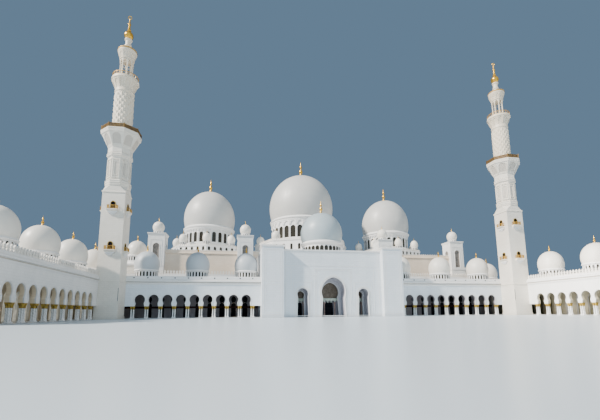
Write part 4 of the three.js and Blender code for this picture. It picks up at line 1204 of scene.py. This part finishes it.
# %% Mouldings round the three arches
rings = Stone()
for shapes, steps, depth, y in (
        (outer_order, ((0.0, 0.022, 0.018), (0.034, 0.044, 0.01), (0.056, 0.08, 0.006)), 0.03, PORTAL_FACE),
        (inner_order, ((-0.014, 0.0, 0.012),), 0.05, REVEAL)):
    for x, shape in shapes:
        for low, high, out in steps:
            inner, outer = grown(shape, low, FINE_STEPS), grown(shape, high, FINE_STEPS)
            rings.take(ring(inner, outer, out, depth, x), shift(y=y))
build("portal_arch_rings", rings, plain_stone)

# %% Lattice, scalloped band, door columns and doors
SPOKES = 16
lattice, scallops, columns, doors = Stone(), Stone(), Stone(), Stone()
column = profile(0, (0.034, 0.01), (0.034, 0.03), (0.024, 0.045), (0.021, 0.43), (0.036, 0.48), (0.036, 0.52))
for (x, shape), (_, doorway) in zip(inner_order, doorways):
    half, middle, *_, leg, _ = shape
    door_half = doorway[0]
    head = arch(*shape[:5], 0.62, FINE_STEPS)
    lattice.slab(at(head, x), front(SCREEN - 0.022), 0.018)
    for i in range(1, 5):
        outer, inner = [[(x + px * f, middle + (pz - middle) * f) for px, pz in head]
                        for f in (1 - 0.2 * i, 0.955 - 0.2 * i)]
        lattice.slab(rim(inner, outer), front(SCREEN - 0.034), 0.014)
    reach = min(half, 0.24) * 0.98
    for i in range(SPOKES):
        a = 2 * math.pi * i / SPOKES
        spoke = [(x + math.cos(a + s) * r, middle + math.sin(a + s) * r)
                 for r, s in ((0.03, -0.12), (reach, -0.02), (reach, 0.02), (0.03, 0.12))]
        lattice.slab(spoke, front(SCREEN - 0.03), 0.01)
    lobes = 5 if door_half > 0.1 else 3
    lobe = leg * 2 / lobes
    dips = [(x - leg + lobe * (i + 0.5), window(lobe * 0.4, 0.5, 0.53, 0.585, 5)) for i in range(lobes)]
    scallops.slab(comb(x - leg, x + leg, 0.5, 0.64, dips), front(SCREEN - 0.09), 0.07)
    scallops.block((x - leg, x + leg), (SCREEN - 0.1, SCREEN - 0.02), (0.645, 0.66))
    for side in (-1, 1):
        columns.turned(column, 14, (x + side * (door_half + 0.035), SCREEN - 0.06))
    doors.slab(at(window(door_half - 0.002, 0.014, 0.44, 0.498), x), front(SCREEN + 0.03), 0.008)
build("portal_lattice", lattice, bronze)
build("portal_scalloped_band", scallops, celadon)
build("portal_door_columns", columns, rosy_stone)
build("portal_doors", doors, dark_door_and_shade)

# %% Relief frames, caps and parapets of the portal
def panel(stone, corners, place, width, out):
    """A thin raised frame."""
    x0, x1, z0, z1 = corners
    hole = box(x0 + width, x1 - width, z0 + width, z1 - width)
    stone.slab(box(*corners), place @ shift(z=out), out * 2, [hole])


frames, caps = Stone(), Stone()
for corners in ((-0.62, 0.62, 0.04, 1.62), (-0.67, 0.67, 0.02, 1.67), (-1.42, -0.77, 0.04, 1.2),
                (0.77, 1.42, 0.04, 1.2), (-1.7, 1.7, 1.76, 2.24), (-1.7, -1.5, 0.04, 1.66),
                (1.5, 1.7, 0.04, 1.66)):
    panel(frames, corners, front(PORTAL_FACE), 0.012, 0.005)
for side in (-1, 1):
    for corners, width, out in (((-0.31, 0.31, 0.1, 2.3), 0.014, 0.006),
                                ((-0.25, 0.25, 0.16, 1.1), 0.01, 0.004),
                                ((-0.25, 0.25, 1.2, 2.24), 0.01, 0.004)):
        panel(frames, corners, facing(side * 2.15, PIER_FRONT, 0, (1, 0, 0)), width, out)
    pier_top = box(*sorted((side * PORTAL_X, side * PIER_X)), PIER_FRONT, PIER_BACK)
    caps.moulding(pier_top, profile(-0.02, (0.008, 2.37), (0.015, 2.4), (0.03, 2.41), (0.03, 2.445)))
build("portal_relief_frames", frames, plain_stone)
caps.moulding([(-PORTAL_X, PORTAL_FACE), (PORTAL_X, PORTAL_FACE)],
              profile(-0.02, (0.008, 2.27), (0.015, 2.3), (0.025, 2.31), (0.025, 2.34)), closed=False)
side_cap = Stone().moulding([(PIER_X, PIER_BACK), (PIER_X, HALL_FRONT)],
                            profile(-0.02, (0.01, 2.26), (0.03, 2.29), (0.03, 2.345)), closed=False)
build("portal_caps", caps.take(side_cap.mirrored()).take(side_cap), plain_stone)
for name, start, stop, foot in (
        ("pier_front", (1.8, PIER_FRONT), (2.5, PIER_FRONT), 2.44),
        ("pier_outer", (PIER_X, -2.42), (PIER_X, -1.52), 2.44),
        ("pier_inner", (PORTAL_X, -1.52), (PORTAL_X, -2.42), 2.44),
        ("portal_side", (PIER_X, -1.48), (PIER_X, 0.24), PORTAL_TOP)):
    parapet(f"{name}_parapet", start, stop, foot, 0.035, 0.075, 0.025)

# %% The portal's roof and dome
roof = Stone().block((-PORTAL_X, PORTAL_X), (PORTAL_FACE + 0.04, PIER_BACK), (CEILING, 2.339))
roof.block((-PIER_X, PIER_X), (PIER_BACK, HALL_FRONT), (CEILING, PORTAL_TOP))
build("portal_roof_slab", roof, plain_stone, ["portal_roof"])
centre, drum = (0.0, -0.555), 0.77
shell = Stone().turned(dome_shape(0.84, 3.26, 4.15, 2.885, 0.06, 28), 72, centre)
build("portal_dome_shell", shell, portal_dome_shade_stone, ["portal_dome"])
bay = drum_bay(drum, 28, 2.33, 2.82, (0.073, 2.39, 2.62, 2.7))
repeated("portal_drum_bays", bay, plain_stone, circle(28, centre))
rings = Stone()
for steps in (profile(-0.04, (0.05, 2.33), (0.05, 2.37), (0.025, 2.4)),
              profile(-0.04, (0.025, 2.76), (0.045, 2.79), (0.07, 2.81), (0.07, 2.85), (0.05, 2.87),
                      (0.03, 2.9))):
    rings.turned([(drum + out, z) for out, z in steps], 84, centre)
build("portal_drum_mouldings", rings, plain_stone)
build("portal_drum_glazing", Stone().turned(box(0.735, 0.752, 2.44, 2.72), 56, centre), glass)
point = Stone().take(spike(4.13, 4.71, 0.075), shift(*centre))
build("portal_dome_spire", point, gold, ["portal_dome_finial"])

# %% [markdown]
# ## The minarets
# A minaret changes its plan as it rises: a square shaft with balconies, an octagon with sunk panels, a
# flared gallery, a round shaft covered in diamond relief, a second gallery, and an open lantern of eight
# columns under a flared head with a gilded ball. One minaret is modelled around the origin, and the tree
# stands it at both corners of the courtyard.

# %% Dressing the square and eight-sided shafts
MINARET_X, MINARET_Y = 7.24, -2.235
MINARET = line(1, (MINARET_X, MINARET_Y, 0.0))
SHAFT, EIGHTH = 0.34, math.pi / 8
shaft_trim, sunk = Stone(), Stone()
for z, tall in ((0.0, 0.09), (1.14, 0.05), (3.985, 0.05)):
    shaft_trim.moulding(box(-SHAFT, SHAFT, -SHAFT, SHAFT),
                        profile(-0.02, (0.016, z), (0.016, z + tall * 0.6), (0.006, z + tall)))
for radius, z in ((0.378, 4.24), (0.39, 4.31), (0.39, 4.38), (0.352, 4.44), (0.352, 5.13), (0.39, 5.23),
                  (0.39, 5.29), (0.37, 5.35)):
    bead = [(-0.02, z), (0.008, z + 0.004), (0.008, z + 0.016), (-0.02, z + 0.02)]
    shaft_trim.moulding(prism(radius, 8, EIGHTH), bead)
face = 0.35 * math.cos(EIGHTH)
for x, low, high, out, wide in ((0.11, 4.48, 5.12, 0.024, 0.024), (0.062, 4.56, 5.04, 0.018, 0.016)):
    hole = box(wide - x, x - wide, low + wide, high - wide)
    sunk.slab(box(-x, x, low, high), front(-face - out), out + 0.01, [hole])
# The slots in the sunk panels are darker: painted shade in the recess.
slots_sunk = Stone().slab(box(-0.03, 0.03, 4.6, 5.0), front(-face - 0.006), 0.012)
repeated("minaret_panel_slots", quarters(slots_sunk, 8), painted_recess_shade, MINARET)
repeated("minaret_shaft_trim", shaft_trim.take(quarters(sunk, 8)), ivory_stone, MINARET)

# %% Balconies with gilded rails
rail, leaf, surround, bracket = Stone(), Stone(), Stone(), Stone()
for z in (2.13, 3.43):
    for side in (-1, 1):
        rail.block((side * 0.085, side * 0.15), (-0.434, -0.428), (z + 0.006, z + 0.112))
    for low, high in ((0.0, 0.01), (0.112, 0.122)):
        rail.block((-0.155, 0.155), (-0.44, -0.428), (z + low, z + high))
        for x in (-0.155, 0.143):
            rail.block((x, x + 0.012), (-0.43, -0.335), (z + low, z + high))
    for x in (-0.052, -0.017, 0.018, 0.053):
        rail.block((x - 0.003, x + 0.003), (-0.438, -0.43), (z + 0.01, z + 0.114))
    for x in (-0.153, 0.145):
        for y in (-0.41, -0.385, -0.36):
            rail.block((x, x + 0.008), (y, y + 0.008), (z + 0.01, z + 0.11))
    door = window(0.062, z + 0.004, z + 0.19, z + 0.25, 8)
    leaf.slab(door, front(-SHAFT - 0.004), 0.02)
    surround.slab(rim(door, window(0.08, z + 0.004, z + 0.19, z + 0.274, 8)), front(-SHAFT - 0.014), 0.03)
    for i in range(3):
        wide, low, out = 0.14 - 0.035 * i, z - 0.11 - 0.035 * i, 0.05 - 0.014 * i
        bracket.block((-wide, wide), (-SHAFT - out, -0.33), (low, low + 0.04))
for name, stone, material in (("rails", rail, rail_gold), ("doors", leaf, dark_door_and_shade),
                              ("door_frames", surround, old_gold), ("brackets", bracket, plain_stone)):
    repeated(f"minaret_balcony_{name}", quarters(stone), material, MINARET)
# The slit is a near-black block: painted shade in a deep opening.
slit = Stone().block((-0.327, -0.315), (-0.344, -0.32), (0.55, 0.95))
repeated("minaret_slit", slit, dark_door_and_shade, MINARET)

# %% Flared galleries
def flared(low, high, sides, opening=None):
    """Sloping faces from one (radius, height) to another, with arched recesses, or else plain and thin."""
    h0, a0 = side_of(low[0], sides)
    h1, a1 = side_of(high[0], sides)
    up = Vector((0, a0 - a1, high[1] - low[1]))
    length = up.length
    up.normalize()
    along = Vector((1, 0, 0))
    place = shift(0, -a0, low[1]) @ Matrix((along, up, along.cross(up))).transposed().to_4x4()
    outline = [(-h0, 0), (h0, 0), (h1, length), (-h1, length)]
    if opening is None:
        return quarters(Stone().slab(outline, place, 0.01), sides)
    recess = window(opening[0] * h1, *(length * part for part in opening[1:]), 8)
    return quarters(Stone().slab(outline, place, 0.03, [recess]), sides)


flare = flared((0.375, 5.54), (0.6, 5.99), 8, (0.55, 0.1, 0.64, 0.86))
for radius, z in ((0.6, 5.97), (0.615, 6.05)):
    lip = profile(-0.05, (0.006, z), (0.012, z + 0.02), (0.006, z + 0.045))
    flare.moulding(prism(radius, 8, EIGHTH), lip)
repeated("minaret_gallery_flare", flare, ivory_stone, MINARET)
# Thin darker faces behind the flare's recesses paint shade into them.
repeated("minaret_gallery_hollows", flared((0.36, 5.545), (0.585, 5.985), 8), painted_recess_shade, MINARET)
side = Stone()
for low, high in ((6.1, 6.12), (6.215, 6.235)):
    side.block((-0.228, 0.228), (-0.566, -0.552), (low, high))
for x in (0.0375 * i - 0.206 for i in range(12)):
    side.block((x - 0.009, x + 0.009), (-0.563, -0.555), (6.115, 6.22))
side.block((-0.24, -0.222), (-0.57, -0.55), (6.09, 6.26))
repeated("minaret_gallery_rails", quarters(side, 8), dull_gold, MINARET)
panels = quarters(Stone().block((-0.224, 0.224), (-0.556, -0.552), (6.115, 6.22)), 8)
repeated("minaret_gallery_panels", panels, bronze, MINARET)

# %% The round shaft and its diamond relief
AROUND, ROWS, POSTS = 14, 11, 28
round_shaft = Stone().turned(profile(
    0, (0.34, 6.07), (0.34, 6.15), (0.315, 6.18), (0.297, 6.22), (0.293, 6.35), (0.291, 7.54), (0.31, 7.57),
    (0.31, 7.61), (0.295, 7.64), (0.298, 7.7), (0.33, 7.82), (0.395, 7.98), (0.43, 8.0), (0.43, 8.05),
    (0.422, 8.08)), 56)
round_shaft.take(flared((0.302, 7.69), (0.424, 7.99), 12, (0.62, 0.1, 0.6, 0.86)))
shaft_place = shift(MINARET_X, MINARET_Y)
on_both_sides("minaret_round_shaft", Stone().take(round_shaft, shaft_place), honey_stone, ["minaret_gallery"])
wide, tall = 0.062, 0.1
tips = [(0, -0.286, -tall), (wide, -0.282, 0), (0, -0.286, tall), (-wide, -0.282, 0), (0, -0.318, 0)]
diamond = Stone().add(tips, [(0, 1, 4), (1, 2, 4), (2, 3, 4), (3, 0, 4), (3, 2, 1, 0)])
relief = Stone().take_mesh(run_repeat("diamonds", diamond, plain_stone, circle(AROUND) | {
    "Count": AROUND * ROWS, "Per row": AROUND, "Start": (0, 0, 6.36), "Rise": (0, 0, 0.107),
    "Stagger": math.pi / AROUND}))
repeated("minaret_diamond_relief", relief, honey_stone, MINARET)
ring_rail = Stone()
for low, high in ((8.085, 8.1), (8.19, 8.205)):
    ring_rail.turned(box(0.398, 0.412, low, high), 40)
post = Stone().block((-0.007, 0.007), (-0.411, -0.399), (8.09, 8.195))
ring_rail.take_mesh(run_repeat("posts", post, gold, circle(POSTS)))
repeated("minaret_upper_rail", ring_rail, rail_gold, MINARET)

# %% The lantern and its head
lantern = Stone().turned(profile(0, (0.22, 8.08), (0.22, 8.12), (0.2, 8.14)), 32)
column = profile(0, (0.032, 8.13), (0.03, 8.16), (0.021, 8.18), (0.019, 8.69), (0.032, 8.73))
for spot in prism(0.19, 8, EIGHTH):
    lantern.turned(column, 10, spot)
lantern.take(flared((0.215, 8.67), (0.222, 8.83), 8, (0.62, 0.001, 0.3, 0.75)))
lantern.turned([
    (0, 8.82), (0.225, 8.82), (0.235, 8.85), (0.225, 8.87), (0.24, 8.94), (0.275, 9.05), (0.297, 9.09),
    (0.305, 9.12), (0.3, 9.16), (0.12, 9.165), (0.11, 9.2), (0.093, 9.22), (0.093, 9.36), (0.112, 9.38),
    (0.112, 9.42), (0.09, 9.44), (0.09, 9.58), (0.12, 9.62), (0.12, 9.65), (0, 9.655)], 40)
lantern.take(flared((0.236, 8.88), (0.298, 9.07), 12, (0.6, 0.08, 0.5, 0.85)))
repeated("minaret_lantern", lantern, honey_stone, MINARET)
edge = Stone().turned(profile(0.28, (0.305, 9.15), (0.312, 9.17), (0.305, 9.2)), 40)
repeated("minaret_head_rim", edge, rail_gold, MINARET)

# %% The gilded ball and its crescent ring
BALL, RING, TUBE = 0.15, 0.056, 0.012
ball = [(BALL * math.sin(a), 9.81 - BALL * math.cos(a)) for a in (math.pi * k / 16 for k in range(3, 14))]
orb = Stone().turned([
    (0, 9.655), (0.07, 9.655), (0.07, 9.67), *ball, (0.055, 9.99), (0.066, 10.01), (0.045, 10.05),
    (0.03, 10.2), (0.045, 10.23), (0.045, 10.27), (0.024, 10.31), (0.018, 10.47), (0, 10.475)], 32)
tube = [math.pi / 3 * j for j in range(6)]
points = [((RING + TUBE * math.cos(b)) * math.sin(a), TUBE * math.sin(b),
           10.532 - (RING + TUBE * math.cos(b)) * math.cos(a))
          for a in (2 * math.pi * k / 24 for k in range(24)) for b in tube]
faces = [(6 * k + j, 6 * k + (j + 1) % 6, 6 * ((k + 1) % 24) + (j + 1) % 6, 6 * ((k + 1) % 24) + j)
         for k in range(24) for j in range(6)]
orb.add(points, faces)
on_both_sides("minaret_orb", Stone().take(orb, shaft_place), gold, ["minaret_finial"])

# %% [markdown]
# ## Camera, floor and light
# The camera stands where the photograph was taken from, low in the courtyard and turned a little to the
# right. Its place and turn were solved from the building's right angles. A nearly sharp key light high on
# the left shapes the domes, a cool fill lights the front, and a warm one the sides. A soft lamp brightens
# the right wing, and a pale sky fills the shadows. The floor is plain and pale, a little polished.

# %% Camera
YAW, PITCH_UP, ROLL = math.radians(10.297), math.radians(8.648), -0.0079
scene = bpy.context.scene
camera = bpy.data.objects.new("Camera", bpy.data.cameras.new("Camera"))
scene.collection.objects.link(camera)
right = Vector((math.cos(YAW), -math.sin(YAW), 0))
ahead = Vector((math.sin(YAW) * math.cos(PITCH_UP), math.cos(YAW) * math.cos(PITCH_UP), math.sin(PITCH_UP)))
above = right.cross(ahead)
across = right * math.cos(ROLL) + above * math.sin(ROLL)
upward = above * math.cos(ROLL) - right * math.sin(ROLL)
camera.matrix_world = shift(-3.3935, -14.363, 0.1866) @ Matrix((across, upward, -ahead)).transposed().to_4x4()
camera.data.sensor_width = 36.0
camera.data.lens = 21.45
camera.data.shift_y = 0.0788
camera.data.clip_end = 500.0
scene.camera = camera
print("camera looks along", [round(v, 3) for v in ahead])

# %% Floor
FLOOR_Z = -0.002
floor_mesh = bpy.data.meshes.new("studio_floor")
floor_mesh.from_pydata([(x, y, FLOOR_Z) for x, y in box(-150, 150, -150, 150)], [], [(0, 1, 2, 3)])
floor = bpy.data.objects.new("studio_floor", floor_mesh)
scene.collection.objects.link(floor)
paving = bpy.data.materials.new("Pale floor")
paving.use_nodes = True
paving_inputs = paving.node_tree.nodes["Principled BSDF"].inputs
paving_inputs["Base Color"].default_value = (0.62, 0.7, 0.76, 1)
paving_inputs["Roughness"].default_value = 0.3
floor_mesh.materials.append(paving)
floor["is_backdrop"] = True
print("floor at", FLOOR_Z)

# %% Light
def lamp(name, kind, energy, tint, toward):
    """A lamp that shines from a direction; returns its object."""
    made = bpy.data.objects.new(name, bpy.data.lights.new(name, kind))
    made.data.energy, made.data.color = energy, tint
    made.rotation_euler = Vector(toward).to_track_quat("Z", "Y").to_euler()
    scene.collection.objects.link(made)
    print(name, "from", [round(v, 2) for v in toward])
    return made


world = bpy.data.worlds.new("Studio")
world.use_nodes = True
world.node_tree.nodes["Background"].inputs["Color"].default_value = (0.13, 0.21, 0.31, 1)
scene.world = world
for name, energy, spread, tint, toward in (
        ("Key light", 8.5, 3, (1.0, 0.94, 0.86), (-0.75, -0.22, 0.62)),
        ("Front fill", 1.15, 70, (0.62, 0.84, 1.0), (0.1, -0.9, 0.42)),
        ("Side fill", 0.55, 100, (1.0, 0.8, 0.56), (0.85, -0.3, 0.4))):
    lamp(name, "SUN", energy, tint, toward).data.angle = math.radians(spread)
stand, aim = Vector((1.0, -6.0, 2.5)), Vector((7.5, -4.4, 1.4))
spot = lamp("Right fill", "SPOT", 5000, (1.0, 0.95, 0.88), stand - aim)
spot.location = stand
spot.data.shadow_soft_size, spot.data.spot_size, spot.data.spot_blend = 1.0, math.radians(36), 0.7

# %% [markdown]
# ## Sizes
# The size of the dressed building is printed. The dressed building must stay inside the
# frame's box.

# %% Sizes
low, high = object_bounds()
print("visual size in metres:", [round(v, 3) for v in high - low])
